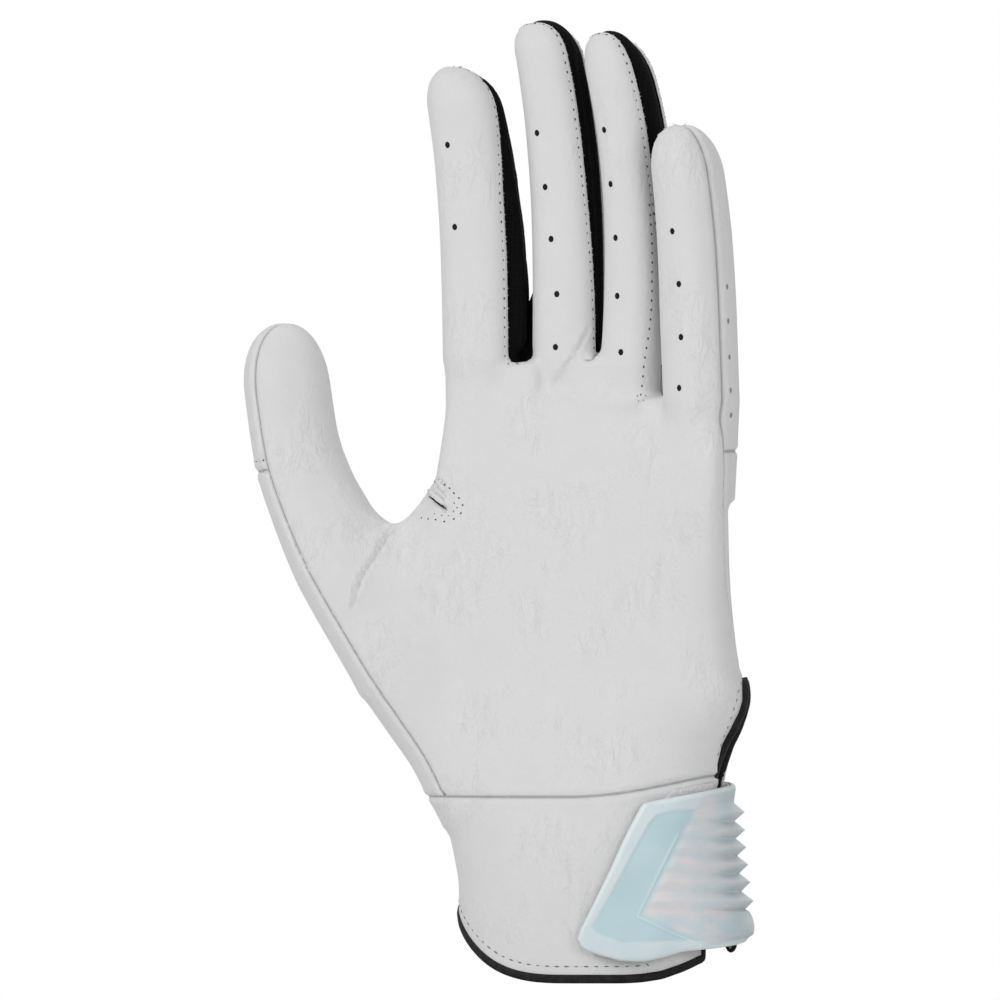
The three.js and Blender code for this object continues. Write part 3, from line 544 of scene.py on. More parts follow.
def hem_level(x, y):
    """The hem's height: flat in the middle, rising to its edges, tightly at the little finger."""
    share = np.minimum(np.abs(x - HEM_MIDDLE) / CUFF_HALF_WIDTH, HEM_LIMIT)
    level = np.where(x > HEM_MIDDLE, np.interp(share, HEM_SHARES, HEM_LEVELS), HEM_RISE * share**3)
    level = level + HEM_CORNER_RISE * smooth(y, 1, 6) * smooth(x, 8, 22)
    return level + HEM_BACK_RISE * smooth(y, 0, 8) * np.clip(1 - share**4, 0, 1)


def wrist_level(x):
    return CUFF_HEIGHT + WRIST_RISE * np.clip(x / CUFF_HALF_WIDTH, 0, 1) ** 2


def slit_sides(z):
    """Front and back edge of the slit at a height, in y."""
    bend = SLIT_BENDS[1] * (SLIT_TOP - CUFF_HEIGHT - WRIST_RISE) + CUFF_HEIGHT + WRIST_RISE
    top_front, top_back = SLIT_TOP_Y - SLIT_TOP_WIDTH / 2, SLIT_TOP_Y + SLIT_TOP_WIDTH / 2
    front_bend = SLIT_Y + (SLIT_TOP_Y - SLIT_Y) * SLIT_BENDS[0]
    back_top = SLIT_TOP_Y + SLIT_WIDTH / 6
    back_bend = back_top + (SLIT_TOP_Y - back_top) * SLIT_BENDS[0]
    heights = [0, CUFF_HEIGHT + WRIST_RISE, bend, SLIT_TOP]
    front = np.interp(z, heights, [SLIT_Y, SLIT_Y, front_bend, top_front])
    back = np.interp(
        z, heights, [SLIT_Y + SLIT_WIDTH, SLIT_Y + SLIT_WIDTH * 0.75, back_bend, top_back]
    )
    return front, back


def side_seam(p):
    """Where the palm leather ends at the edges of the hand, in y."""
    x, z = p[:, 0], p[:, 2]
    to_thumb = np.maximum(-x / PALM_HALF_WIDTH, 0)
    y = arch_depth(x, trunk_row(z)[3]) + to_thumb * PALM_HALF_DEPTH * SIDE_SHARE
    y = y - LITTLE_FORWARD[0] * smooth(z, *LITTLE_FORWARD[1:]) * (x > 20)
    y = y + INDEX_BACKWARD[0] * smooth(z, *INDEX_BACKWARD[1:]) * (x < -25)
    to_slit = (1 - smooth(z, SLIT_TOP, SLIT_TOP + SLIT_REACH)) * (x > 15)
    return y * (1 - to_slit) + SLIT_TOP_Y * to_slit


def seam_point(f, z, angle):
    """Place of a finger's seam at a height, in x and y."""
    _, cx, cy = finger_middle(f, z)
    roll, t = math.radians(f["roll"]), math.radians(angle)
    u, v = f["a"] * oval(math.sin(t)), -f["b"] * oval(math.cos(t))
    x = cx + u * math.cos(roll) - v * math.sin(roll)
    return x, cy + u * math.sin(roll) + v * math.cos(roll)


# %% Panels of one finger
FRONT_TOP, BACK_TOP = 0.5, 1.9
GUSSET_DEPTH = 7
SIDE_LAP = {"index": 0, "middle": 20, "ring": 34, "little": 34}


def front_seam(name, share):
    """Angle of the seam between front and gusset. Low on the long fingers it lies further round."""
    return ULNAR_SEAM + SIDE_LAP[name] * (1 - smooth(share, 0.0, 0.62))


def finger_panel(name, p):
    f = FINGERS[name]
    share, u, v, a, b = finger_place(f, p)
    angle = round_angle(u, v, a, b)
    front, back, radial, ulnar = (ID[name + part] for part in FINGER_PARTS)
    if name == "index":
        seam = front_seam(name, share) + TIP_CLOSE * smooth(share, 0.5, 1)
        back_seam = INDEX_BACK_SEAM + BACK_CLOSE * smooth(share, 0.5, 0.8)
        on_front = (angle > INDEX_WRAP) & (angle < seam)
        on_side = (angle >= seam) & (angle < back_seam)
        return np.where(on_front, front, np.where(on_side, ulnar, back))
    if name == "little":
        seam = -front_seam(name, share)
        on_front = (angle > seam) & (angle < LITTLE_SEAM)
        on_side = (angle > -BACK_SEAM) & (angle <= seam)
        return np.where(on_front, front, np.where(on_side, radial, back))
    rise = np.maximum((share - 1) * f["length"] + f["dome"], 0)
    wide = np.abs(u) / a

    def inside(edge, top):
        across = (wide / oval(math.sin(math.radians(edge)))) ** TIP_CURVE
        return across + (rise / (f["dome"] - top)) ** TIP_CURVE < 1

    low = rise <= 0
    front_low = (angle > RADIAL_SEAM) & (angle < front_seam(name, share))
    back_low = np.abs(angle) > BACK_SEAM
    front_tip = inside(ULNAR_SEAM, FRONT_TOP) | (u < 0) & inside(-RADIAL_SEAM, FRONT_TOP)
    on_front = np.where(low, front_low, (v < 0) & front_tip)
    on_back = np.where(low, back_low, (v > 0) & inside(BACK_SEAM, BACK_TOP))
    return np.where(on_front, front, np.where(on_back, back, np.where(u > 0, ulnar, radial)))


# %% The reinforcement of the web, drawn as places in the picture
WEB_HEIGHT, WEB_REACH = 116, 14
WEB_OUTLINE = [
    (424, 458), (441, 471), (456, 481), (466, 492), (471, 505), (467, 518), (456, 526), (436, 528),
    (412, 524), (396, 512), (400, 480),
]


def in_outline(q, outline):
    inside = np.zeros(len(q), bool)
    for (x0, y0), (x1, y1) in zip(outline, outline[1:] + outline[:1]):
        if y0 == y1:
            continue
        crosses = (q[:, 1] < y0) != (q[:, 1] < y1)
        inside ^= crosses & (q[:, 0] < x0 + (q[:, 1] - y0) * (x1 - x0) / (y1 - y0))
    return inside


# %% The panel of any point
def panel_at(p):
    x, y, z = p.T
    front = y < side_seam(p)
    level = z + PALM_TOP_FALL * x / PALM_HALF_WIDTH
    in_band = (level >= BAND_LOW) & (x < BAND_END)
    below_yoke = np.where(in_band, ID["knuckle_band"], ID["back_panel"])
    back = np.where(level < BAND_HIGH, below_yoke, ID["knuckle_yoke"])
    panel = np.where(front, ID["palm_leather"], back)
    by_web = np.flatnonzero(front & (x < -25) & (np.abs(z - WEB_HEIGHT) < WEB_REACH))
    panel[by_web[in_outline(to_pixels(p[by_web]), WEB_OUTLINE)]] = ID["web_patch"]
    share, u, v, a, b = thumb_place(p)[:5]
    angle, reach = round_angle(u, v, a, b), rounded(u, v, a, b)[0]
    strip = (share <= 0) & (reach < STRIP_REACH) & (angle > STRIP_END) & (angle < THUMB_SEAM)
    panel = np.where(strip, ID["thumb_side_strip"], panel)
    cuff = z < wrist_level(x)
    panel = np.where(cuff, np.where(front, ID["cuff_palm"], ID["cuff_back"]), panel)
    thumb_back = np.where(share > THUMB_STEP, ID["thumb_tip_back"], ID["thumb_back"])
    thumb_front = (angle > THUMB_SEAM) & (angle < THUMB_BACK_SEAM)
    on_thumb = (share > 0) & (reach < THUMB_REACH) & (x < -40)
    panel = np.where(on_thumb, np.where(thumb_front, ID["thumb_front"], thumb_back), panel)
    for slot in SLOTS:
        left, right = FINGERS[slot["left"]], FINGERS[slot["right"]]
        right_seam = -front_seam("little", 0) if slot["right"] == "little" else RADIAL_SEAM
        x0, y0 = seam_point(left, z, front_seam(slot["left"], 0))
        x1, y1 = seam_point(right, z, right_seam)
        left_back = INDEX_BACK_SEAM if slot["left"] == "index" else BACK_SEAM
        y2, y3 = seam_point(left, z, left_back)[1], seam_point(right, z, -BACK_SEAM)[1]
        t = np.clip((x - x0) / (x1 - x0), 0, 1)
        between = (x > x0) & (x < x1) & (z > slot["top"] - GUSSET_DEPTH)
        between &= (y > y0 + (y1 - y0) * t) & (y < y2 + (y3 - y2) * t)
        panel = np.where(between, ID["crotch_gussets"], panel)
    best = np.full(len(p), FINGER_REACH)
    for name, f in FINGERS.items():
        near = np.flatnonzero((z > f["hinge"]) & (np.abs(x - f["x"]) < 22))
        _, u, v, a, b = finger_place(f, p[near])
        reach = rounded(u, v, a, b)[0]
        closer = reach < best[near]
        near = near[closer]
        panel[near] = finger_panel(name, p[near])
        best[near] = reach[closer]
    slit_front, slit_back = slit_sides(z)
    gone = (z < hem_level(x, y)) | ((x > 0) & (z < SLIT_TOP) & (y > slit_front) & (y < slit_back))
    return np.where(gone, NONE, panel)


# %% [markdown]
# ## Cutting the skin
# Every triangle that lies across a seam is split along it. The place of the seam on an edge is
# found by halving the edge until its two ends are almost the same point.

# %% Cut
HALVINGS, OFF_ENDS = 9, 0.04


def triangle_edges(faces):
    return np.vstack([faces[:, [0, 1]], faces[:, [1, 2]], faces[:, [2, 0]]])


def cut_skin(points, faces):
    panels = panel_at(points)
    edges = np.unique(np.sort(triangle_edges(faces), 1), axis=0)
    crossed = edges[panels[edges[:, 0]] != panels[edges[:, 1]]]
    low, high = np.zeros(len(crossed)), np.ones(len(crossed))
    a, b = points[crossed[:, 0]], points[crossed[:, 1]]
    for _ in range(HALVINGS):
        half = (low + high) / 2
        same = panel_at(a + (b - a) * half[:, None]) == panels[crossed[:, 0]]
        low, high = np.where(same, half, low), np.where(same, high, half)
    half = np.clip((low + high) / 2, OFF_ENDS, 1 - OFF_ENDS)
    key = {(i, j): len(points) + k for k, (i, j) in enumerate(crossed.tolist())}
    points = np.vstack([points, onto_skin(a + (b - a) * half[:, None])])
    of = panels[faces]
    whole = (of[:, 0] == of[:, 1]) & (of[:, 1] == of[:, 2])
    split, split_panel, middles = [], [], []

    def middle(i, j):
        return key[(i, j) if i < j else (j, i)]

    for (i, j, k), (pi, pj, pk) in zip(faces[~whole].tolist(), of[~whole].tolist()):
        if pi == pj:
            i, j, k, pi, pj, pk = k, i, j, pk, pi, pj
        elif pi == pk:
            i, j, k, pi, pj, pk = j, k, i, pj, pk, pi
        m, n = middle(i, j), middle(i, k)
        if pj == pk:
            split += [(i, m, n), (m, j, k), (m, k, n)]
            split_panel += [pi, pj, pj]
        else:
            o, c = middle(j, k), len(points) + len(middles)
            middles.append((i, j, k))
            split += [(i, m, c), (i, c, n), (j, o, c), (j, c, m), (k, n, c), (k, c, o)]
            split_panel += [pi, pi, pj, pj, pk, pk]
    if middles:
        points = np.vstack([points, onto_skin(points[np.array(middles)].mean(1))])
    faces = np.vstack([faces[whole], split])
    return points, faces, np.concatenate([of[whole, 0], split_panel])


POINTS, FACES, FACE_PANEL = cut_skin(SKIN_POINTS, SKIN_FACES)
print("cut into", len(np.unique(FACE_PANEL)) - 1, "panels,", len(FACES), "triangles")


# %% [markdown]
# ## How far each point is from a seam
# Leather dips where it is sewn. So every point needs its distance to the nearest seam, of three
# kinds: leather on mesh, leather on leather, and the free edges of the hem and the slit. The
# lines across the finger roots aren't seams: there one piece of leather only changes its name.

# %% Seam kinds
ROOT_PANELS = list(range(PIECES.index("web_patch") + 1))
CUFF_PANELS = [ID["cuff_palm"], ID["cuff_back"]]
MESH_PARTS = ("fourchette", "crotch_gussets", "knuckle_band")
IS_MESH = np.array([any(part in name for part in MESH_PARTS) for name in PIECES] + [False])
SEAM_REACH = 12.0


def panel_borders(faces, panel):
    """Edges between two panels, with the panel on each side."""
    edges, owner = np.sort(triangle_edges(faces), 1), np.tile(panel, 3)
    order = np.lexsort((edges[:, 1], edges[:, 0]))
    edges, owner = edges[order], owner[order]
    twin = (edges[1:] == edges[:-1]).all(1)
    first = np.flatnonzero(twin)
    pair = np.stack([owner[first], owner[first + 1]], 1)
    differ = pair[:, 0] != pair[:, 1]
    return edges[first][differ], pair[differ]


def seam_kind(pair):
    """Which borders are of each kind, from the panels on their two sides."""
    edge = (pair == NONE).any(1)
    mesh, root, cuff = IS_MESH[pair], np.isin(pair, ROOT_PANELS), np.isin(pair, CUFF_PANELS)
    gusset = ~edge & (mesh[:, 0] != mesh[:, 1])
    at_cuff = cuff[:, 0] != cuff[:, 1]
    joined = (root[:, 0] != root[:, 1]) | mesh.all(1) | (pair == ID["web_patch"]).any(1)
    inseam = ~edge & ~gusset & ~joined & ~at_cuff
    return dict(edge=edge, gusset=gusset, inseam=inseam, wrist=~edge & at_cuff & ~gusset)


BORDERS, BORDER_PAIRS = panel_borders(FACES, FACE_PANEL)
KINDS = seam_kind(BORDER_PAIRS)


def nearest(places, points):
    """How far each point is from the nearest of the places, up to a limit."""
    tree = KDTree(len(places))
    for i, place in enumerate(places):
        tree.insert(place, i)
    tree.balance()
    return np.minimum(np.array([tree.find(p)[2] for p in points]), SEAM_REACH)


def border_distance(kind):
    a, b = POINTS[BORDERS[KINDS[kind], 0]], POINTS[BORDERS[KINDS[kind], 1]]
    print(kind, "seams:", int(np.linalg.norm(a - b, axis=1).sum()), "mm")
    return nearest(np.vstack([a + (b - a) * t for t in (0, 0.33, 0.67)]), POINTS)


DISTANCE = {kind: border_distance(kind) for kind in KINDS}
NORMALS = skin_normals(POINTS)

# %% [markdown]
# ## Relief
# The leather rolls down at its sewn edges, sinks into a valley at seams of leather on leather,
# and creases where the hand bends. The creases follow the photograph, so their lines are places
# in the picture. They are pressed only into surfaces that face the camera.

# %% Creases, as places in the picture with a depth and a width in millimetres
CREASES = [
    ([(589, 329), (573, 357), (553, 383)], 0.6, 0.45),
    ([(577, 366), (571, 395)], 0.16, 0.8),
    ([(505, 372), (503, 390)], 0.14, 0.8),
    ([(394, 528), (384, 541), (376, 555), (363, 575), (356, 593), (353, 606)], 0.85, 0.6),
    ([(350, 520), (361, 532), (372, 545)], 0.16, 0.8),
    ([(459, 475), (475, 490), (495, 508)], 0.18, 0.8),
    ([(322, 452), (337, 455), (350, 453)], 0.10, 0.9),
    ([(432, 474), (438, 479), (445, 485)], 0.22, 0.4),
    ([(430, 481), (439, 488.5), (448, 497)], 0.30, 0.4),
    ([(429, 485.5), (436.5, 492.5), (446, 501.5)], 0.30, 0.4),
    ([(425, 494.5), (433, 499.3), (441, 505.5), (446, 509.5)], 1.20, 0.45),
    ([(414, 514), (423, 507), (432, 505)], 0.25, 0.9),
]
BANK_SHARE, BANK_PLACE = 0.35, 1.8


def bell(distance, width, middle=0.0):
    return np.exp(-(((distance - middle) / width) ** 2))


def line_distance(q, line):
    """Distance in millimetres of places in the picture from a line there."""
    best = np.full(len(q), 1e9)
    line = np.array(line, float)
    for a, b in zip(line[:-1], line[1:]):
        along = b - a
        t = np.clip(((q - a) @ along) / (along @ along), 0, 1)
        best = np.minimum(best, np.linalg.norm(q - a - t[:, None] * along, axis=1))
    return best * PIXEL


def crease_relief(points, normals):
    q = to_pixels(points)
    facing = np.clip(normals @ TO_CAMERA * 2, 0, 1)
    relief = np.zeros(len(points))
    for line, depth, width in CREASES:
        d = line_distance(q, line)
        bank = bell(d, width, BANK_PLACE * width)
        relief -= depth * bell(d, width) - depth * BANK_SHARE * bank
    return relief * facing


# %% Heights of both layers over the skin
MESH_SINK = 1.05
# The thread pulls both layers down along the gussets, over a wide soft strip
SEAM_PULL, PULL_WIDTH = 0.65, 2.7
PULL = SEAM_PULL * bell(DISTANCE["gusset"], PULL_WIDTH)
# Depth and width of each seam's valley, then height, width and place of the bank beside it
VALLEYS = dict(
    gusset=(0.40, 0.45, 0.10, 0.6, 0.9),
    inseam=(0.55, 0.6, 0.12, 0.9, 1.5),
    wrist=(0.45, 0.6, 0.15, 0.9, 1.4),
    edge=(0.15, 0.5, 0.0, 1.0, 0.0),
)
PUFF, PUFF_WIDTH = 0.45, 2.2


def leather_relief():
    relief = np.zeros(len(POINTS))
    for kind, (depth, width, rise, bank_width, bank_place) in VALLEYS.items():
        bank = bell(DISTANCE[kind], bank_width, bank_place)
        relief -= depth * bell(DISTANCE[kind], width) - rise * bank
    return relief - PULL + crease_relief(POINTS, NORMALS)


LEATHER_HEIGHT = leather_relief()
MESH_HEIGHT = -MESH_SINK - PULL + PUFF * (1 - bell(DISTANCE["gusset"], PUFF_WIDTH))
FOOT_RISE, FOOT_WIDTH, FOOT_BEGINS, FOOT_FADES = 3.0, 2.6, (-0.04, 0.08), (0.14, 0.85)


def full_gusset():
    """The index finger's gusset is full at its foot, where it closes the gap to the next finger."""
    f = FINGERS["index"]
    share = (POINTS[:, 2] - f["hinge"]) / f["length"]
    side = np.zeros(len(POINTS), bool)
    side[np.unique(FACES[FACE_PANEL == ID["index_ulnar_fourchette"]])] = True
    along = smooth(share, *FOOT_BEGINS) * (1 - smooth(share, *FOOT_FADES))
    return FOOT_RISE * along * side * (1 - bell(DISTANCE["gusset"], FOOT_WIDTH))


MESH_HEIGHT += full_gusset()


def surface_normals(points, faces):
    a, b, c = points[faces[:, 0]], points[faces[:, 1]], points[faces[:, 2]]
    cross = np.cross(b - a, c - a)
    normals = np.zeros_like(points)
    for k in range(3):
        np.add.at(normals, faces[:, k], cross)
    return unit(normals)


LEATHER_POINTS = POINTS + NORMALS * LEATHER_HEIGHT[:, None]
LEATHER_FACES = FACES[(FACE_PANEL != NONE) & ~IS_MESH[FACE_PANEL]]
LEATHER_NORMALS = surface_normals(LEATHER_POINTS, LEATHER_FACES)
MESH_POINTS = POINTS + NORMALS * MESH_HEIGHT[:, None]
MESH_NORMALS = surface_normals(MESH_POINTS, FACES)

# %% [markdown]
# ## From a panel to a piece
# A piece is a closed body with a thickness: an outer sheet, an inner sheet and a rim. The rim of
# leather bulges a little, as a turned edge does. Panels that meet without a seam share their
# normals, so light doesn't show where one ends.

# %% Build one piece
COLLECTION = bpy.context.scene.collection
BODY_OF = {name: "root" for name in PIECES[: len(ROOT_PANELS)]}
for finger in ("index", "middle", "ring", "little", "thumb"):
    own = [name for name in PIECES[len(ROOT_PANELS):] if name.startswith(finger + "_")]
    BODY_OF.update(dict.fromkeys(own, finger))


def new_object(name, points, faces, material=None):
    mesh = bpy.data.meshes.new(name)
    mesh.from_pydata((np.asarray(points) * MM).tolist(), [], faces)
    mesh.update()
    mesh.shade_smooth()
    thing = bpy.data.objects.new(name, mesh)
    COLLECTION.objects.link(thing)
    if material:
        mesh.materials.append(material)
    return thing


def set_attribute(thing, label, values):
    """Gives each point of a mesh a number or a vector."""
    values = np.asarray(values, np.float32)
    kind, field = ("FLOAT", "value") if values.ndim == 1 else ("FLOAT_VECTOR", "vector")
    thing.data.attributes.new(label, kind, "POINT").data.foreach_set(field, values.ravel())


def far_from_seams(thing):
    """Gives a leather piece the look of plain leather, away from all seams."""
    for label in ("gusset", "inseam"):
        set_attribute(thing, label, np.full(len(thing.data.vertices), SEAM_REACH))


def outward(thing):
    """Turns all faces of a closed body outwards."""
    mesh = bmesh.new()
    mesh.from_mesh(thing.data)
    bmesh.ops.recalc_face_normals(mesh, faces=mesh.faces)
    mesh.to_mesh(thing.data)
    mesh.free()
    return thing


def open_edges(faces):
    """Edges with one face, each in that face's own direction."""
    edges = triangle_edges(faces)
    code = edges.min(1) * (edges.max() + 1) + edges.max(1)
    _, first, count = np.unique(code, return_index=True, return_counts=True)
    return edges[first[count == 1]]


def build_piece(name, chosen, outer, outer_normals, inner, bulge, material):
    """Closed body over some faces of the skin, between an outer and an inner sheet."""
    used, faces = np.unique(chosen, return_inverse=True)
    faces = faces.reshape(-1, 3)
    size = len(used)
    top, under, n, below = outer[used], inner[used], outer_normals[used], -NORMALS[used]
    rim = open_edges(faces)
    ring = np.unique(rim)
    spot = np.full(size, -1)
    spot[ring] = np.arange(len(ring))
    away = np.zeros((size, 3))
    out = np.cross(top[rim[:, 1]] - top[rim[:, 0]], n[rim[:, 0]])
    np.add.at(away, rim[:, 0], out)
    np.add.at(away, rim[:, 1], out)
    away = unit(away[ring])
    middle = (top[ring] + under[ring]) / 2 + away * bulge[used][ring][:, None]
    points = np.vstack([top, under, middle])
    i, j = rim[:, 0], rim[:, 1]
    mi, mj = 2 * size + spot[i], 2 * size + spot[j]
    sides = np.vstack([np.stack([j, i, mi, mj], 1), np.stack([mj, mi, size + i, size + j], 1)])
    lists = faces.tolist() + (faces[:, ::-1] + size).tolist() + sides.tolist()
    thing = new_object(name, points, lists, material)
    ai, aj = away[spot[i]], away[spot[j]]
    upper = np.stack([n[j] + aj, n[i] + ai, ai, aj], 1)
    lower = np.stack([aj, ai, ai + below[i], aj + below[j]], 1)
    corners = [n[faces], below[faces[:, ::-1]], upper, lower]
    loops = unit(np.vstack([part.reshape(-1, 3) for part in corners]))
    thing.data.normals_split_custom_set(loops.tolist())
    inseam = np.minimum(DISTANCE["inseam"], DISTANCE["wrist"])
    for label, values in (("gusset", DISTANCE["gusset"][used]), ("inseam", inseam[used])):
        set_attribute(thing, label, np.concatenate([values, values, values[ring]]))
    return thing


def attach(thing, body):
    """Parents a piece to its body. A piece of a finger or the thumb just has its place baked in."""
    if body in FINGERS:
        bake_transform(thing)
    elif body == "thumb":
        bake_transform(thing)
    else:
        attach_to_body(thing, body)
    return thing


# %% [markdown]
# ## Materials
# Colours are written as in the picture and turned into linear light by one function. Every fine
# texture is a height in millimetres that a bump node reads, so its depth stays true to size.

# %% Small tools for materials
def linear(code):
    values = [int(code[i : i + 2], 16) / 255 for i in (1, 3, 5)]
    return tuple(v / 12.92 if v <= 0.04045 else ((v + 0.055) / 1.055) ** 2.4 for v in values) + (1,)


def add(tree, kind, inputs=None, **settings):
    """Adds a node, with its settings, and with a value or a link for each named input."""
    node = tree.nodes.new(kind)
    for name, value in settings.items():
        setattr(node, name, value)
    for name, value in (inputs or {}).items():
        if isinstance(value, bpy.types.NodeSocket):
            tree.links.new(value, node.inputs[name])
        else:
            node.inputs[name].default_value = value
    return node


def maths(tree, operation, a, b=0.0, c=0.0):
    return add(tree, "ShaderNodeMath", {0: a, 1: b, 2: c}, operation=operation).outputs[0]


def between(tree, value, low, high, to_low=0.0, to_high=1.0):
    """A value's way between two limits, softened at both ends and brought to a new range."""
    names = ("Value", "From Min", "From Max", "To Min", "To Max")
    inputs = dict(zip(names, (value, low, high, to_low, to_high)))
    node = add(tree, "ShaderNodeMapRange", inputs, interpolation_type="SMOOTHSTEP")
    return node.outputs["Result"]


def blend_colour(tree, share, a, b, kind="MIX"):
    """Blends two colours, each a link or a code as in the picture."""
    a, b = (linear(colour) if isinstance(colour, str) else colour for colour in (a, b))
    node = add(tree, "ShaderNodeMix", {0: share, 6: a, 7: b}, data_type="RGBA", blend_type=kind)
    return node.outputs[2]


def noise(tree, place, scale, detail, **more):
    inputs = {"Vector": place, "Scale": scale, "Detail": detail, **more}
    return add(tree, "ShaderNodeTexNoise", inputs).outputs[0]


def cells(tree, place, scale, randomness=1.0, feature="F1"):
    inputs = {"Vector": place, "Scale": scale, "Randomness": randomness}
    return add(tree, "ShaderNodeTexVoronoi", inputs, feature=feature).outputs[0]


def squeezed(tree, place, upwards):
    return add(tree, "ShaderNodeMapping", {"Vector": place, "Scale": (1, 1, upwards)}).outputs[0]


def read_attribute(tree, label):
    return add(tree, "ShaderNodeAttribute", attribute_name=label).outputs["Fac"]


def new_material(name, **principled):
    """A material, its node tree and the place on the object that its textures read."""
    material = bpy.data.materials.new(name)
    material.use_nodes = True
    tree = material.node_tree
    for key, value in principled.items():
        tree.nodes["Principled BSDF"].inputs[key.replace("_", " ")].default_value = value
    return material, tree, add(tree, "ShaderNodeTexCoord").outputs["Object"]


def finish_material(material, colour, height):
    """Gives a material a colour, and a relief in millimetres."""
    tree = material.node_tree
    shader = tree.nodes["Principled BSDF"]
    bump = add(tree, "ShaderNodeBump", {"Strength": 1.0, "Distance": MM, "Height": height})
    tree.links.new(colour, shader.inputs["Base Color"])
    tree.links.new(bump.outputs[0], shader.inputs["Normal"])
    return material


# %% Leather
def make_leather():
    # Full-grain sheepskin, tanned white: a matt, slightly cool white with fine pores and creases
    material, tree, place = new_material("white_leather", Roughness=0.62, Specular_IOR_Level=0.32)
    patches = noise(tree, place, 60, 3)
    fine = noise(tree, place, 1500, 3, Roughness=0.6)
    pores = cells(tree, place, 1300, feature="SMOOTH_F1")
    folds = noise(tree, squeezed(tree, place, 0.45), 330, 5, Roughness=0.62, Distortion=0.6)
    ridges = between(tree, maths(tree, "ABSOLUTE", maths(tree, "SUBTRACT", folds, 0.5)), 0.0, 0.10)
    where = between(tree, patches, 0.42, 0.62)
    gusset, inseam = read_attribute(tree, "gusset"), read_attribute(tree, "inseam")
    row = maths(tree, "ABSOLUTE", maths(tree, "SUBTRACT", gusset, STITCH_INSET))
    groove = between(tree, row, 0.05, 0.55, -0.10, 0.0)
    line = between(tree, inseam, 0.05, 0.5, -0.25, 0.0)
    height = maths(tree, "MULTIPLY", fine, 0.07)
    height = maths(tree, "MULTIPLY_ADD", pores, 0.05, height)
    height = maths(tree, "MULTIPLY_ADD", maths(tree, "MULTIPLY", ridges, where), 0.10, height)
    height = maths(tree, "ADD", maths(tree, "ADD", groove, line), height)
    tint = blend_colour(tree, between(tree, patches, 0.3, 0.7), "#DBDBDC", "#DFDFDF")
    dark = between(tree, inseam, 0.0, 0.28, 0.5, 1.0)
    shades = dict.fromkeys(("Red", "Green", "Blue"), dark)
    grey = add(tree, "ShaderNodeCombineColor", shades).outputs[0]
    return finish_material(material, blend_colour(tree, 1.0, tint, grey, "MULTIPLY"), height)


# %% Mesh fabric
def make_mesh_fabric():
    # Warp-knitted polyester mesh: almost black, dull, with a fine pattern of small holes
    material, tree, place = new_material("black_mesh", Roughness=0.9, Specular_IOR_Level=0.1)
    holes, threads = cells(tree, place, 1050, 0.35), noise(tree, place, 3000, 2)
    # Darker in the small holes: painted shade
    colour = blend_colour(tree, between(tree, holes, 0.15, 0.5), "#020202", "#0A0A0B")
    height = maths(tree, "MULTIPLY_ADD", threads, 0.05, maths(tree, "MULTIPLY", holes, 0.22))
    return finish_material(material, colour, height)


STITCH_INSET = 1.4
LEATHER_SKIN = make_leather()
MESH_FABRIC = make_mesh_fabric()

# %% [markdown]
# ## Light
# The picture was taken in a white tent: light comes from all sides, a little more from the left
# and above. The camera sees a plain white world, and so do mirrors. All other rays get a dimmer
# one, so the glove isn't flooded by it.

# %% World, lamps and floor
LAMPS = [
    ("key", (-0.9, -1.5, 1.1), 1.1, 13.4),
    ("fill", (1.2, -1.3, 0.35), 1.0, 7.4),
    ("top", (0.0, 0.5, 1.6), 0.9, 4.5),
]
LIGHT_TARGET = Vector((-0.02, 0, 0.11))
WORLD_LEVEL = 0.40
FLOOR_REACH, FLOOR_DEPTH = 30000, 0.4


def add_lamps():
    for name, place, size, power in LAMPS:
        data = bpy.data.lights.new(name, "AREA")
        data.shape, data.size, data.energy = "DISK", size, power
        lamp = bpy.data.objects.new(name, data)
        lamp.location = place
        lamp.rotation_euler = (lamp.location - LIGHT_TARGET).to_track_quat("Z", "Y").to_euler()
        COLLECTION.objects.link(lamp)


def white_to_camera(tree, other):
    """White for the camera and for rays from mirrors and glass. Other rays get the given shader."""
    path = add(tree, "ShaderNodeLightPath").outputs
    sent_on = maths(tree, "MAXIMUM", path["Is Glossy Ray"], path["Is Transmission Ray"])
    seen = maths(tree, "MAXIMUM", path["Is Camera Ray"], sent_on)
    white = add(tree, "ShaderNodeBackground", {"Color": (1, 1, 1, 1), "Strength": 1.0})
    return add(tree, "ShaderNodeMixShader", {0: seen, 1: other, 2: white.outputs[0]}).outputs[0]


def add_world():
    world = bpy.data.worlds.new("studio")
    bpy.context.scene.world = world
    world.use_nodes = True
    tree = world.node_tree
    tree.nodes.clear()
    soft = add(tree, "ShaderNodeBackground", {"Color": (1, 1, 1, 1), "Strength": WORLD_LEVEL})
    end = add(tree, "ShaderNodeOutputWorld")
    tree.links.new(white_to_camera(tree, soft.outputs[0]), end.inputs[0])


def add_floor():
    # Plain pale paper. The glove's shadow lies on it, and it runs out of sight in every direction.
    material = new_material("floor_paper", Base_Color=linear("#F4F4F4"), Roughness=0.9)[0]
    corners = [(-1, -1), (1, -1), (1, 1), (-1, 1)]
    places = [(x * FLOOR_REACH, y * FLOOR_REACH, -FLOOR_DEPTH) for x, y in corners]
    floor = new_object("floor", places, [(0, 1, 2, 3)], material)


add_lamps()
add_world()
add_floor()
bpy.context.scene.view_settings.view_transform = "Standard"

# %% [markdown]
# ## The sewn pieces
# Leather pieces lie on the skin and are one millimetre thick. Mesh pieces lie under them and
# reach past the seam by the lap that the maker sews through.

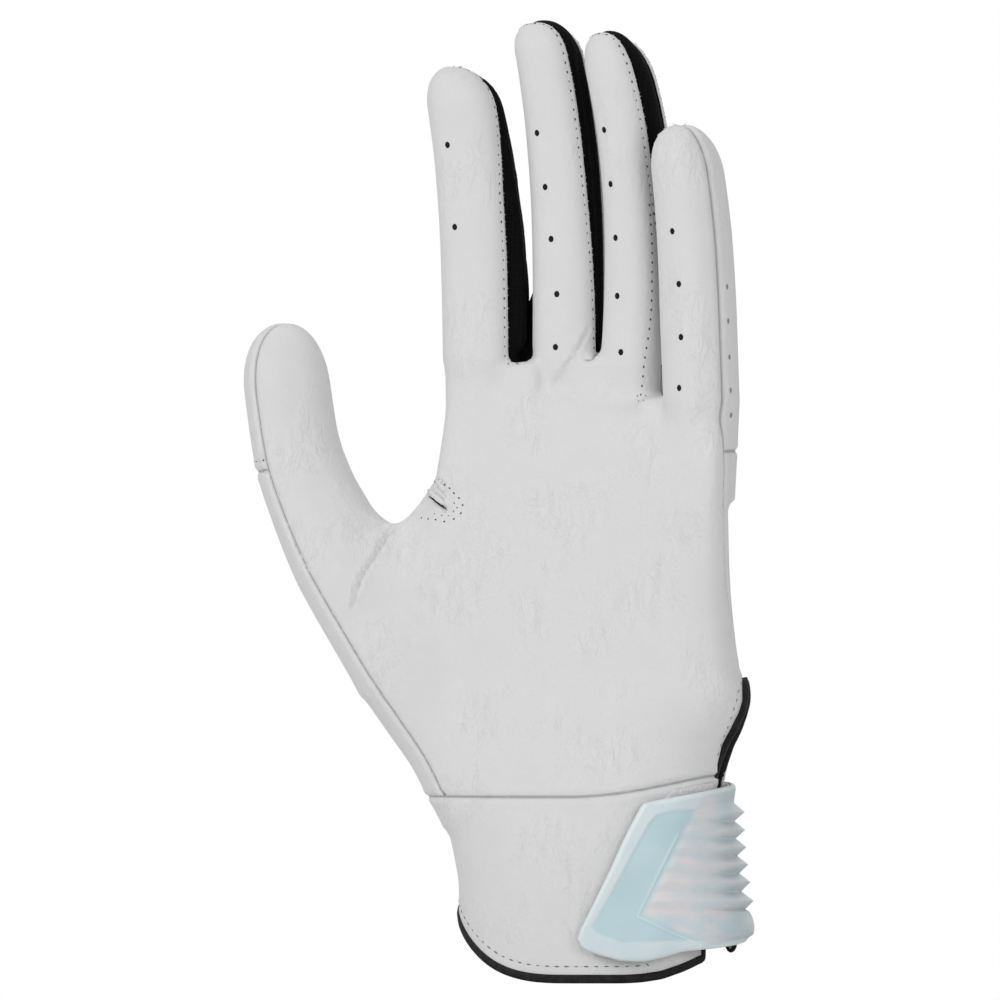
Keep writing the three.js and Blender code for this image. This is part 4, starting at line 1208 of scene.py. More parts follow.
# %% Leather and mesh pieces
LEATHER_UNDER = POINTS - NORMALS * LEATHER
STRETCHED = 0.7
MESH_UNDER = MESH_POINTS - NORMALS * MESH * STRETCHED
BULGE, AT_SEAM = 0.16, 0.05
LEATHER_BULGE = np.where(np.minimum(DISTANCE["gusset"], DISTANCE["edge"]) < AT_SEAM, BULGE, 0.0)
NO_BULGE = np.zeros(len(POINTS))


def lap_faces(panel):
    """Faces of the leather beside a mesh panel, as far as the lap reaches."""
    touching = (BORDER_PAIRS == panel).any(1) & KINDS["gusset"]
    places = POINTS[np.unique(BORDERS[touching])]
    low, high = places.min(0) - LAP, places.max(0) + LAP
    inside = np.flatnonzero(((POINTS > low) & (POINTS < high)).all(1))
    near = np.zeros(len(POINTS), bool)
    near[inside] = nearest(places, POINTS[inside]) < LAP
    leather = (FACE_PANEL != NONE) & ~IS_MESH[FACE_PANEL]
    return FACES[leather & near[FACES].all(1)]


sewn = []
for name in PIECES:
    mine = FACES[FACE_PANEL == ID[name]]
    if not len(mine):
        continue
    if IS_MESH[ID[name]]:
        mine = np.vstack([mine, lap_faces(ID[name])])
        sheets = MESH_POINTS, MESH_NORMALS, MESH_UNDER, NO_BULGE, MESH_FABRIC
    else:
        sheets = LEATHER_POINTS, LEATHER_NORMALS, LEATHER_UNDER, LEATHER_BULGE, LEATHER_SKIN
    thing = build_piece(name + "_skin", mine, *sheets)
    attach(thing, BODY_OF[name])
    if name != "crotch_gussets":
        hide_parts(name)
    sewn.append(thing)
print(len(sewn), "sewn pieces,", sum(len(thing.data.polygons) for thing in sewn), "faces")


# %% [markdown]
# ## Stitches
# A row of stitches keeps the same distance from its seam. So a row is a level line of the
# distance that every point already has. Spots are laid along it at the sewing machine's pitch.
# In the picture the thread sinks into the leather and its needle holes show as small dark marks.

# %% Level lines
def level_lines(names, values, level):
    """Lines on pieces of leather along which a value has a level, as places and normals."""
    faces = FACES[np.isin(FACE_PANEL, [ID[name] for name in names])]
    above = values[faces] > level
    mixed = above.any(1) & ~above.all(1)
    links, where = {}, {}
    for tri in faces[mixed].tolist():
        ends = []
        for a, b in ((tri[0], tri[1]), (tri[1], tri[2]), (tri[2], tri[0])):
            if (values[a] > level) != (values[b] > level):
                i, j = key = (a, b) if a < b else (b, a)
                t = (level - values[i]) / (values[j] - values[i])
                sheets = LEATHER_POINTS, LEATHER_NORMALS
                where[key] = [sheet[i] * (1 - t) + sheet[j] * t for sheet in sheets]
                ends.append(key)
        links.setdefault(ends[0], []).append(ends[1])
        links.setdefault(ends[1], []).append(ends[0])
    return [np.array([where[key] for key in line]) for line in chains(links)]


def chains(links):
    """Splits a graph of neighbours into lines."""
    seen, lines = set(), []
    ends = [key for key, others in links.items() if len(others) == 1]
    for start in ends + list(links):
        if start in seen:
            continue
        line = [start]
        seen.add(start)
        while True:
            following = [key for key in links[line[-1]] if key not in seen]
            if not following:
                break
            line.append(following[0])
            seen.add(following[0])
        if len(line) > 3 and line[0] in links[line[-1]]:
            line.append(line[0])
        lines.append(line)
    return [line for line in lines if len(line) > 3]


def spots_along(line, pitch):
    """Places, tangents and normals at even steps along a line of places and normals."""
    places, normals = line[:, 0], line[:, 1]
    run = run_along(places)
    if run[-1] < 2 * pitch:
        return None
    at = np.arange(pitch / 2, run[-1], pitch)
    tangents = read_along(at + 0.5, run, places) - read_along(at - 0.5, run, places)
    return read_along(at, run, places), tangents, read_along(at, run, normals)


# %% Geometry Nodes that lay one small bead on every spot
BEAD_SEGMENTS, BEAD_RINGS = 8, 5
BEAD_SIZES = ("Length", "Width", "Height")


def bead_tree(material):
    tree = bpy.data.node_groups.new("beads", "GeometryNodeTree")

    def step(kind, inputs, **settings):
        return add(tree, kind, inputs, **settings).outputs[0]

    def spot(label, kind):
        node = add(tree, "GeometryNodeInputNamedAttribute", {"Name": label}, data_type=kind)
        return node.outputs["Attribute"]

    tree.interface.new_socket("Geometry", in_out="INPUT", socket_type="NodeSocketGeometry")
    for name in BEAD_SIZES:
        tree.interface.new_socket(name, in_out="INPUT", socket_type="NodeSocketFloat")
    tree.interface.new_socket("Geometry", in_out="OUTPUT", socket_type="NodeSocketGeometry")
    source = add(tree, "NodeGroupInput").outputs
    axes = {axis: source[name] for axis, name in zip("XYZ", BEAD_SIZES)}
    ball = {"Segments": BEAD_SEGMENTS, "Rings": BEAD_RINGS, "Radius": 0.5}
    bead = {
        "Geometry": step("GeometryNodeMeshUVSphere", ball),
        "Scale": step("ShaderNodeCombineXYZ", axes),
    }
    upright = {"Vector": spot("spot_normal", "FLOAT_VECTOR")}
    turned = {
        "Rotation": step("FunctionNodeAlignRotationToVector", upright, axis="Z"),
        "Vector": spot("spot_tangent", "FLOAT_VECTOR"),
    }
    laid = {
        "Points": source["Geometry"],
        "Instance": step("GeometryNodeTransform", bead),
        "Rotation": step("FunctionNodeAlignRotationToVector", turned, axis="X", pivot_axis="Z"),
        "Scale": spot("spot_size", "FLOAT"),
    }
    real = step(
        "GeometryNodeRealizeInstances", {"Geometry": step("GeometryNodeInstanceOnPoints", laid)}
    )
    soft = step("GeometryNodeSetShadeSmooth", {"Geometry": real})
    painted = step("GeometryNodeSetMaterial", {"Geometry": soft, "Material": material})
    tree.links.new(painted, add(tree, "NodeGroupOutput").inputs["Geometry"])
    return tree


def lay_beads(name, spots, size, material, sizes=None):
    """One mesh with a bead of the given length, width and height, in millimetres, on every spot."""
    places, tangents, normals = spots
    points = new_object(name + "_spots", places, [])
    set_attribute(points, "spot_normal", normals)
    set_attribute(points, "spot_tangent", tangents)
    set_attribute(points, "spot_size", np.ones(len(places)) if sizes is None else sizes)
    tree = bead_tree(material)
    modifier = points.modifiers.new("beads", "NODES")
    modifier.node_group = tree
    for item in tree.interface.items_tree:
        if item.in_out == "INPUT" and item.name in BEAD_SIZES:
            modifier[item.identifier] = size[BEAD_SIZES.index(item.name)] * MM
    bpy.context.view_layer.update()
    done = points.evaluated_get(bpy.context.evaluated_depsgraph_get())
    mesh = bpy.data.meshes.new_from_object(done)
    mesh.name = name
    thing = bpy.data.objects.new(name, mesh)
    COLLECTION.objects.link(thing)
    bpy.data.objects.remove(points)
    return thing


# %% Thread and needle holes
def make_plain(name, colour, roughness):
    looks = dict(Base_Color=linear(colour), Roughness=roughness, Specular_IOR_Level=0.25)
    return new_material(name, **looks)[0]


THREAD = make_plain("polyester_thread", "#DADADA", 0.7)
NEEDLE_HOLE = make_plain("needle_hole_shadow", "#474747", 0.9)
DEEP_HOLE = make_plain("punched_hole_shadow", "#141414", 0.9)
GREY_THREAD = make_plain("grey_hem_thread", "#868686", 0.75)
STITCH_PITCH = 2.3
# Length, width and height of needle holes, and width and height of the thread
HOLE_SIZE, SMALL_HOLE, THREAD_SECTION = (0.66, 0.42, 0.24), (0.55, 0.36, 0.24), (0.26, 0.24)
HOLE_SINK, THREAD_SINK, MARK_RISE = 0.03, 0.05, 0.02
rng = np.random.default_rng(7)


def body_spots(lines, pitch):
    """Spots of all lines together, each with the body that its place belongs to."""
    found = [spots for spots in (spots_along(line, pitch) for line in lines) if spots is not None]
    places, tangents, normals = (np.vstack(parts) for parts in zip(*found))
    bodies = np.array([BODY_OF[PIECES[k]] if k >= 0 else "root" for k in panel_at(places)])
    return places, tangents, unit(normals), bodies


def lay_by_body(bodies, layers):
    """Lays beads as one piece for each body and layer. A layer has a name, spots, size, material
    and the range of its random sizes."""
    for body in np.unique(bodies):
        mine = bodies == body
        for name, spots, size, material, spread in layers:
            sizes = rng.uniform(*spread, mine.sum()) if spread else None
            spots = [part[mine] for part in spots]
            attach(lay_beads(name.format(body), spots, size, material, sizes), body)


def sew(name, lines, pitch=STITCH_PITCH, hole=HOLE_SIZE, thread_share=0.62, material=NEEDLE_HOLE):
    """A row of needle holes with thread between them, one pair of pieces for each body."""
    places, tangents, normals, bodies = body_spots(lines, pitch)
    halves = places + unit(tangents) * pitch / 2
    thread = (pitch * thread_share, *THREAD_SECTION)
    hole_spots = (places - normals * HOLE_SINK, tangents, normals)
    thread_spots = (halves - normals * THREAD_SINK, tangents, normals)
    lay_by_body(bodies, [
        (name + "_{}_holes", hole_spots, hole, material, (0.8, 1.2)),
        (name + "_{}_thread", thread_spots, thread, THREAD, None),
    ])
    print(name, len(places), "stitches")


FRONTS = ["palm_leather"] + [f + "_front" for f in FINGERS]
BACKS = ["knuckle_yoke", "back_panel"] + [f + "_back" for f in FINGERS]
sew("front_stitches", level_lines(FRONTS, DISTANCE["gusset"], STITCH_INSET))
sew("back_stitches", level_lines(BACKS, DISTANCE["gusset"], STITCH_INSET))

# %% Rows beside the hem, beside the slit and at the step of the thumb
HEM_INSET, SLIT_INSET, STEP_INSET = 3.7, 2.3, 2.3
HEM_PITCH, STEP_PITCH = 2.5, 1.9
HEM_HOLE, HEM_THREAD_SHARE = (1.25, 0.40, 0.26), 0.35
HEM_PIECES = ("cuff_palm", "cuff_back", "palm_leather", "back_panel")
NO_ROW = 9.0


def edge_row_values():
    """Distance from the row beside the hem and the slit. The strap and the tape hide some parts."""
    x, y, z = POINTS.T
    at_slit = (x > 15) & (z > 9) & (DISTANCE["edge"] < z - hem_level(x, y) - 1)
    hidden = at_slit & (y < 3) | (x > 20) & (z < 16)
    values = DISTANCE["edge"] - np.where(at_slit, SLIT_INSET, HEM_INSET)
    return np.where(hidden, NO_ROW, values)


edge_lines = level_lines(HEM_PIECES, edge_row_values(), 0)
sew("edge_stitches", edge_lines, HEM_PITCH, HEM_HOLE, HEM_THREAD_SHARE, GREY_THREAD)
step_distance = (thumb_place(POINTS)[0] - THUMB_STEP) * THUMB_LENGTH
sew("thumb_step_stitches", level_lines(["thumb_tip_back"], step_distance, STEP_INSET), STEP_PITCH)

# %% [markdown]
# ## Frayed thread on the leather's edges
# Where leather lies on mesh, the maker's overcast thread shows as small pale ticks over the
# black. They are short, uneven and not quite square to the edge.

# %% Ticks
TICK_SIZE, TICK_SPACING, TICK_SINK = (0.95, 0.17, 0.2), 1.15, SEAM_PULL + 0.42


def edge_ticks():
    chosen = KINDS["gusset"] & ~(BORDER_PAIRS == ID["knuckle_band"]).any(1)
    a, b = POINTS[BORDERS[chosen, 0]], POINTS[BORDERS[chosen, 1]]
    lengths = np.linalg.norm(b - a, axis=1)
    keep = rng.random(len(a)) < lengths / TICK_SPACING
    t = rng.random(keep.sum())[:, None]
    places = a[keep] * (1 - t) + b[keep] * t
    normals = skin_normals(places)
    across = np.cross(b[keep] - a[keep], normals)
    lean = (b[keep] - a[keep]) * rng.normal(0, 0.35, keep.sum())[:, None]
    places = places - normals * TICK_SINK
    panels = np.maximum(BORDER_PAIRS[chosen][keep].max(1), 0)
    bodies = np.array([BODY_OF[PIECES[panel]] for panel in panels])
    spots = (places, across + lean, normals)
    lay_by_body(bodies, [("overcast_ticks_{}", spots, TICK_SIZE, THREAD, (0.6, 1.25))])


edge_ticks()

# %% [markdown]
# ## Punched holes
# Each finger has a line of air holes. Their places are shares of the finger's length and angles
# round it. The little finger has a second, softer line along its side.

# %% Air holes
HOLE_RADIUS = 0.85
HOLES = {
    "index": [(0.449, -19), (0.728, -19)],
    "middle": [(0.035, 1), (0.19, 2), (0.351, -4), (0.503, -10), (0.661, -17)],
    "ring": [(0.039, 2), (0.205, -7), (0.377, -11), (0.536, -16), (0.696, -17)],
    "little": [(0.046, 9), (0.229, 16), (0.42, 16), (0.61, 10)],
}
SIDE_HOLES = [(-0.052, 99), (0.038, 98), (0.157, 98), (0.287, 98), (0.41, 99)]
ROUND_HOLE = (2 * HOLE_RADIUS, 1.7 * HOLE_RADIUS, 0.22)
NARROW_HOLE = (1.7 * HOLE_RADIUS, 1.1 * HOLE_RADIUS, 0.22)


def punch(name, holes, material=DEEP_HOLE, size=ROUND_HOLE, mark="punched"):
    f = FINGERS[name]
    places = []
    for share, angle in holes:
        z = f["hinge"] + share * f["length"]
        girth = np.interp(share, *GIRTH_SHARES.T)
        x, y = seam_point({**f, "a": f["a"] * girth, "b": f["b"] * girth}, z, angle)
        places.append((x, y, z))
    places = onto_skin(np.array(places, float))
    normals = skin_normals(places)
    tangents = np.tile([0.0, 0.0, 1.0], (len(places), 1))
    dark = (places + normals * MARK_RISE, tangents, normals)
    attach(lay_beads(f"{name}_{mark}_holes", dark, size, material), name)


for name, holes in HOLES.items():
    punch(name, holes)
SOFT_HOLE = make_plain("side_hole_shadow", "#8E8E8E", 0.9)
punch("little", SIDE_HOLES, SOFT_HOLE, NARROW_HOLE, "side")

# %% [markdown]
# ## The reinforced web
# Between thumb and index finger a patch is sewn on with two rows of stitches round a slit, and
# the leather lies there in three small folds. The rows are places in the picture, laid on the
# skin along the camera's line of sight.

# %% Places in the picture, put on the skin
SIGHT_REACH, SIGHT_STEP = 50, 0.5
UP = np.array([0, 0, 1])


def on_skin_at(pixels):
    """Places of the skin that the camera sees at places in the picture."""
    pixels = np.asarray(pixels, float)
    across, height = from_pixels(pixels[:, :1], pixels[:, 1:])
    foot = RIGHT * across + UP * height
    seen = np.full(len(pixels), np.nan)
    for t in np.arange(SIGHT_REACH, -SIGHT_REACH, -SIGHT_STEP):
        seen[np.isnan(seen) & (sample(HAND, foot + TO_CAMERA * t) < 0)] = t
    t = np.nan_to_num(seen) + SIGHT_STEP / 2
    return onto_skin(foot + TO_CAMERA * t[:, None])


def picture_row(name, pixels, size, material, body="root"):
    """A row of beads at places in the picture, sunk as far as the seams pull the leather down."""
    places = on_skin_at(pixels)
    normals = skin_normals(places)
    closest = np.argmin(np.linalg.norm(POINTS[None] - places[:, None], axis=2), axis=1)
    sunk = PULL[closest][:, None]
    tangents = np.gradient(places, axis=0)
    spots = (places + normals * (MARK_RISE - sunk), tangents, normals)
    attach(lay_beads(name, spots, size, material), body)


OUTER_ROW = [
    (439.5, 480), (444.7, 484.5), (449.5, 488.3), (454.3, 493.1), (458.6, 497.9), (462.4, 505),
    (460.8, 513.2), (453.8, 519), (444.7, 521.5), (435.5, 519.6), (428.5, 519), (422, 518),
]
INNER_ROW = [
    (450, 499.5), (454, 503), (456.7, 507.5), (453.8, 511.6), (449, 515.6), (441.9, 515.4),
    (435, 513.7),
]
picture_row("web_outer_row", OUTER_ROW, (0.62, 0.40, 0.24), NEEDLE_HOLE)
picture_row("web_inner_row", INNER_ROW, SMALL_HOLE, GREY_THREAD)
RING_ROW = [
    (649.5, 205), (650.5, 215), (651, 224.5), (651.5, 234), (652, 243.5), (652.2, 253),
    (652.3, 262.5), (652.2, 272), (652, 281.5), (651.7, 291), (651.3, 300.5), (651, 310),
    (650.3, 319.5), (649.2, 329), (648, 338.5), (646.5, 348), (645, 357.5), (643.8, 367),
    (643, 376.5), (642, 386), (641, 395),
]
FOOT_ROW = [(637.5, 396), (638.5, 401), (643.5, 400.5), (645.5, 396)]
picture_row("ring_side_row", RING_ROW, HOLE_SIZE, NEEDLE_HOLE, "ring")
picture_row("ring_foot_row", FOOT_ROW, SMALL_HOLE, GREY_THREAD)
SLIT_ROW = [
    (741, 683), (738.5, 691), (736.5, 700), (734, 709), (731, 718), (727.5, 727), (724, 736),
    (720.5, 745), (718.5, 754),
]
picture_row("slit_row", SLIT_ROW, (0.9, 0.40, 0.24), GREY_THREAD)


# %% Folds and slit of the web
TUBE_PLACES, TUBE_CORNERS, TUBE_TAPER = 15, 12, 3
TUBE_TURNS = np.linspace(0, 2 * math.pi, TUBE_CORNERS, endpoint=False)


def tube_body(name, rings, material, closed=False):
    """A tube through rings of places, given as one line for each corner of the ring. It has end
    caps unless it is closed to itself."""
    points = np.stack(rings, 1)
    count, size = points.shape[:2]
    faces = []
    for i in range(count if closed else count - 1):
        here, there = i * size, (i + 1) % count * size
        faces += [
            (here + j, there + j, there + (j + 1) % size, here + (j + 1) % size)
            for j in range(size)
        ]
    if not closed:
        faces += [tuple(range(size)), tuple((count - 1) * size + j for j in reversed(range(size)))]
    return outward(new_object(name, points.reshape(-1, 3), faces, material))


def tube_along(name, line, width, height, sunk, material):
    """A tapered roll along places in the picture, half sunk into the leather."""
    line = np.array(line, float)
    run = run_along(line)
    places = on_skin_at(read_along(np.linspace(0, run[-1], TUBE_PLACES), run, line))
    normals = skin_normals(places)
    across = np.cross(unit(np.gradient(places, axis=0)), normals)
    taper = 1 - np.abs(np.linspace(-1, 1, TUBE_PLACES)) ** TUBE_TAPER
    taper = np.sqrt(np.clip(taper, 0.01, 1))[:, None]
    rings = []
    for t in TUBE_TURNS:
        out = across * width / 2 * math.cos(t) + normals * height / 2 * math.sin(t)
        rings.append(places + taper * out + normals * (height / 2 - sunk))
    thing = tube_body(name, rings, material)
    far_from_seams(thing)
    attach(thing, "root")


tube_along(
    "web_fold_upper", [(432.5, 478), (440, 485), (448, 492.5)], 1.30, 1.0, 0.58, LEATHER_SKIN
)
tube_along(
    "web_fold_middle", [(430.5, 483.5), (438, 490.5), (447, 499.5)], 0.85, 0.9, 0.50, LEATHER_SKIN
)
tube_along(
    "web_fold_lower", [(427.5, 489.5), (436, 497), (446, 505)], 1.50, 1.1, 0.60, LEATHER_SKIN
)
SLIT_LINE = [
    (427.5, 495.6), (430.5, 497.8), (433, 499.6), (436.6, 502.4), (441, 505.7), (446, 509.2)
]
tube_along("web_slit_shadow", SLIT_LINE, 0.36, 0.5, 0.42, DEEP_HOLE)

# %% [markdown]
# ## The gathered foot of the index finger's gusset
# Where two gussets meet between index and middle finger, the mesh gathers into a small saddle
# that closes the gap. It is one closed body, highest beside the middle finger.

# %% A saddle of mesh between index and middle finger
def closed_grid(name, top, under, material):
    """Closed body between two grids of places of the same size."""
    rows, columns = top.shape[:2]
    size = rows * columns
    index = np.arange(size).reshape(rows, columns)
    corners = [index[:-1, :-1], index[:-1, 1:], index[1:, 1:], index[1:, :-1]]
    quads = np.stack(corners, -1).reshape(-1, 4)
    ring = np.concatenate([index[0, :-1], index[:-1, -1], index[-1, :0:-1], index[:0:-1, 0]])
    after = np.roll(ring, -1)
    rim = np.stack([after, ring, ring + size, after + size], 1)
    faces = quads.tolist() + (quads[:, ::-1] + size).tolist() + rim.tolist()
    points = np.vstack([top.reshape(-1, 3), under.reshape(-1, 3)])
    return outward(new_object(name, points, faces, material))


SADDLE = dict(x=-18.4, y=0.0, z=148.5, half_width=5.6, half_depth=4.4, rise=26.0, crown=2.0)
across, along = np.meshgrid(np.linspace(-1, 1, 21), np.linspace(-1, 1, 17))
height = SADDLE["z"] + (SADDLE["rise"] * (across + 1) / 2 + SADDLE["crown"]) * (1 - along**2)
spread = SADDLE["x"] + SADDLE["half_width"] * across
saddle = np.stack([spread, SADDLE["y"] + SADDLE["half_depth"] * along, height], -1)
lower = saddle * [1, 1, 0] + [0, 0, SADDLE["z"] - 3.0]
saddle_piece = closed_grid("crotch_saddle", saddle, lower, MESH_FABRIC)
attach(saddle_piece, "middle")


# %% [markdown]
# ## Bound edges
# A folded tape holds the raw edge of the cuff, along the hem and up both sides of the slit. It is
# swept: one rounded section goes along the whole edge, square to it and to the skin.

# %% Line of the edge
EDGE_STEP = 0.8


def edge_line():
    """The raw edge as one smooth closed line with even steps."""
    links = {}
    for a, b in BORDERS[KINDS["edge"]].tolist():
        links.setdefault(a, []).append(b)
        links.setdefault(b, []).append(a)
    lines = sorted(chains(links), key=len)
    line = POINTS[lines[-1]]
    run = run_along(line)
    line = read_along(np.arange(0, run[-1] - EDGE_STEP / 2, EDGE_STEP), run, line)
    for _ in range(3):
        line = (np.roll(line, 1, 0) + 2 * line + np.roll(line, -1, 0)) / 4
    print("bound edge:", round(run[-1]), "mm,", len(lines), "lines")
    return line


EDGE = edge_line()
# The strap draws the slit's tape in, and beside the heel of the hand it stands off a little
DRAWN_IN, STANDS_OFF = (0.8, 30, 40), (1.7, 46, 60)
stand_off = -DRAWN_IN[0] * smooth(EDGE[:, 2], *DRAWN_IN[1:])
stand_off += STANDS_OFF[0] * smooth(EDGE[:, 2], *STANDS_OFF[1:])
EDGE[:, 0] += np.where(EDGE[:, 0] > 20, stand_off, 0)
TAPE_REACH, TAPE_PROUD = 1.75, 0.34
TAPE_SECTION = [
    (TAPE_REACH, 0.10), (TAPE_REACH - 0.1, TAPE_PROUD), (0.9, 0.48), (0.0, 0.36), (-0.28, 0.0),
    (-0.36, -0.5), (-0.28, -1.0), (0.0, -1.36), (0.9, -1.46), (TAPE_REACH - 0.1, -1.34),
    (TAPE_REACH, -1.1),
]


def sweep_edge(name, line, section, material):
    """A section swept along a closed line. It is given as places inward and off the skin."""
    tangent = unit(np.roll(line, -2, 0) - np.roll(line, 2, 0))
    normal = skin_normals(line)
    normal = unit(normal - (normal * tangent).sum(1)[:, None] * tangent)
    inward = np.cross(normal, tangent)
    if (panel_at(line + inward * 1.5) != NONE).mean() < 0.5:
        inward = -inward
    return tube_body(name, [line + inward * u + normal * v for u, v in section], material, True)


# %% Woven tape
def make_tape():
    # Grosgrain tape of polyester: near black, dull, with fine ribs across it
    looks = dict(Roughness=0.8, Specular_IOR_Level=0.25)
    material, tree, place = new_material("black_grosgrain_tape", **looks)
    wide = noise(tree, place, 500, 2)
    colour = blend_colour(tree, between(tree, wide, 0.35, 0.7), "#161616", "#242424")
    return finish_material(
        material, colour, maths(tree, "MULTIPLY", cells(tree, place, 1900, 0.4), 0.16)
    )


TAPE = make_tape()
tape = sweep_edge("edge_binding_tape", EDGE, TAPE_SECTION, TAPE)
attach(tape, "root")
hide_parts("edge_binding")

# %% [markdown]
# ## The closing strap
# A woven strap is sewn to the back of the cuff and closes over the palm side with hook and loop.
# A moulded tab covers it. Its front is a flat arrow-shaped band, and round the little-finger side
# it has six sharp ribs and a round one below them for the fingers to grip. Every layer is a plate
# that follows the cuff.

# %% Where the layers lie
STRAP_END, ANCHOR_START, ANCHOR_END, TAB_END, PATCH_END, LOOP_END = 158, 159, 176, 128, 74, 82
# Height over the cuff and thickness of three layers, then the thickness of strap and tab
LOOP, HOOK, ANCHOR = (0.25, 0.6), (0.95, 0.55), (0.25, 1.2)
STRAP, TAB_FLAT = 0.95, 1.45
PATCH_INSET, STRAP_INSET = 2.5, 0.25
# Angles between which the strap leaves the patches, and comes down on the back of the cuff
LEAVES, COMES_DOWN = (52, 92), (112, 156)
FRONT_LIFT, BACK_LIFT = 1.65, 0.5
SIDE_LIFT, SIDE_TOP, SIDE_SLOPE, LEAST_LIFT = 0.45, 43, 0.17, 0.35


def cuff_point(z, angle, lift):
    a, b, shift, arch = trunk_row(z)
    t = np.radians(angle)
    x = shift + (a + lift) * oval(np.sin(t))
    return np.stack([x, arch_depth(x, arch) - (b + lift) * oval(np.cos(t)), z], -1)


def strap_lift(z, angle):
    """Height of the strap over the cuff: on the patches in front, clear of it at the side and low
    at the back."""
    side = np.maximum(SIDE_LIFT + (SIDE_TOP - z) * SIDE_SLOPE, LEAST_LIFT)
    front_share, back_share = 1 - smooth(angle, *LEAVES), smooth(angle, *COMES_DOWN)
    behind = side * (1 - back_share) + BACK_LIFT * back_share
    return front_share * FRONT_LIFT + (1 - front_share) * behind


SIDE_ANGLES = np.linspace(0, 176, 177)
CORNER_LIFT = 4


def angle_at(pixel_x, z, lift):
    """Angle round the cuff at which a place of the picture lies."""
    places = cuff_point(np.full(len(SIDE_ANGLES), float(z)), SIDE_ANGLES, lift)
    q = to_pixels(places)[:, 0]
    last = int(np.argmax(q))
    return np.interp(pixel_x, q[: last + 1], SIDE_ANGLES[: last + 1])


def as_angles(line, further=()):
    """Angles and heights of a line in the picture, then the given ones that it doesn't show."""
    heights = [from_pixels(x, y)[1] for x, y in line]
    seen = [(angle_at(x, z, CORNER_LIFT), z) for (x, _), z in zip(line, heights)]
    return np.array(seen + list(further))


FREE_END = as_angles([
    (586, 951), (580, 946), (577, 939), (580, 929), (611, 868), (641, 808), (645, 803.5),
])
LOW_EDGE = as_angles([
    (586, 951), (600, 955.5), (620, 961), (644, 962), (664, 958), (683, 952), (709, 948),
    (730, 942),
], [(96, 10.6), (160, 10.0)])
HIGH_EDGE = as_angles([
    (645, 803), (664, 799), (690, 794.5), (716, 790),
], [(88, 46.8), (118, 48.0), (150, 48.4)])


# %% A plate between two heights
ROUNDED_SHARE = 0.85


def plate_grid(columns, rows, inset, end, start_inset=0.0, start=None, top=None):
    """Angles and heights of a grid that fills the strap's outline."""
    s, t = np.meshgrid(np.linspace(0, 1, columns), np.linspace(0, 1, rows))
    z = 9 + 34 * t
    for _ in range(6):
        left = start if start is not None else np.interp(z, *FREE_END.T[::-1])
        angle = left + start_inset + (end - left - start_inset) * s
        low = np.interp(angle, *LOW_EDGE.T) + inset
        high = np.interp(angle, *HIGH_EDGE.T) - inset
        if top is not None:
            high = high + inset - 3 + (3 - top) * smooth(angle, 42, 54)
        z = low + (high - low) * t
    return angle, z


def plate_body(name, angle, z, lift, thick, rounding, material):
    """Closed body of an outer and an inner grid, and how far its places are from its edges. The
    outer grid rounds down at them."""
    rows, columns = z.shape
    flat = cuff_point(z.ravel(), angle.ravel(), np.ravel(lift)).reshape(rows, columns, 3)

    def to_side(axis):
        step = np.linalg.norm(np.diff(flat, axis=axis), axis=2)
        start = np.zeros((rows, 1)) if axis == 1 else np.zeros((1, columns))
        total = np.concatenate([start, np.cumsum(step, axis=axis)], axis=axis)
        return np.minimum(total, total.max(axis=axis, keepdims=True) - total)

    edge = np.minimum(to_side(0), to_side(1))
    share = np.clip(edge / rounding, 0, 1)
    drop = 1 - np.sqrt(np.clip(1 - (1 - share) ** 2, 0, 1))
    top = lift + thick - drop * np.minimum(rounding, thick) * ROUNDED_SHARE
    outer = cuff_point(z.ravel(), angle.ravel(), top.ravel())
    return closed_grid(name, outer.reshape(flat.shape), flat, material), edge


# %% Fabrics of the strap
WALE_PITCH = 0.9 * MM


def make_strap_fabric():
    # Knitted elastic webbing: white polyester with raised wales along the strap, soft and dull
    looks = dict(Roughness=0.85, Specular_IOR_Level=0.2, Sheen_Weight=0.2)
    material, tree, place = new_material("white_elastic_webbing", **looks)
    height = add(tree, "ShaderNodeSeparateXYZ", {0: place}).outputs["Z"]
    wales = maths(tree, "SINE", maths(tree, "MULTIPLY", height, 2 * math.pi / WALE_PITCH))
    # Darker in the grooves between the raised wales: painted shade
    colour = blend_colour(tree, between(tree, wales, -1, 1), "#C4C6C8", "#DEDFDF")
    raised = maths(tree, "MULTIPLY", wales, 0.05)
    relief = maths(tree, "MULTIPLY_ADD", noise(tree, place, 2200, 2), 0.08, raised)
    return finish_material(material, colour, relief)


def make_pile(name, dark, light, scale, depth):
    # Loop and hook tape: a dense pile of nylon, its colour broken by the small shadows between
    looks = dict(Roughness=0.9, Specular_IOR_Level=0.2, Sheen_Weight=0.3)
    material, tree, place = new_material(name, **looks)
    pile, fuzz = cells(tree, place, scale, 0.6), noise(tree, place, 1800, 3)
    shade = between(tree, maths(tree, "MULTIPLY_ADD", fuzz, 0.5, pile), 0.2, 0.8)
    relief = maths(tree, "MULTIPLY", maths(tree, "SUBTRACT", fuzz, pile), depth)
    return finish_material(material, blend_colour(tree, shade, light, dark), relief)


WEBBING = make_strap_fabric()
LOOP_PILE = make_pile("white_loop_pile", "#D4D5D7", "#ECECEC", 1400, 0.2)
HOOK_PILE = make_pile("black_hook_pile", "#0A0A0A", "#2A2A2A", 900, 0.4)


# %% Patches, strap and anchor
def lay_plate(name, node, body, slot, material, lift, thick, end, inset, start_inset=0.0,
              start=None, columns=110, top=None):
    """A layer of the strap, with its height over the cuff as a number or as a function."""
    angle, z = plate_grid(columns, 60, inset, end, start_inset, start, top)
    lift = lift(z, angle) if callable(lift) else lift
    thing, _ = plate_body(name, angle, z, lift, thick, 0.4, material)
    attach(thing, body)
    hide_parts(node)


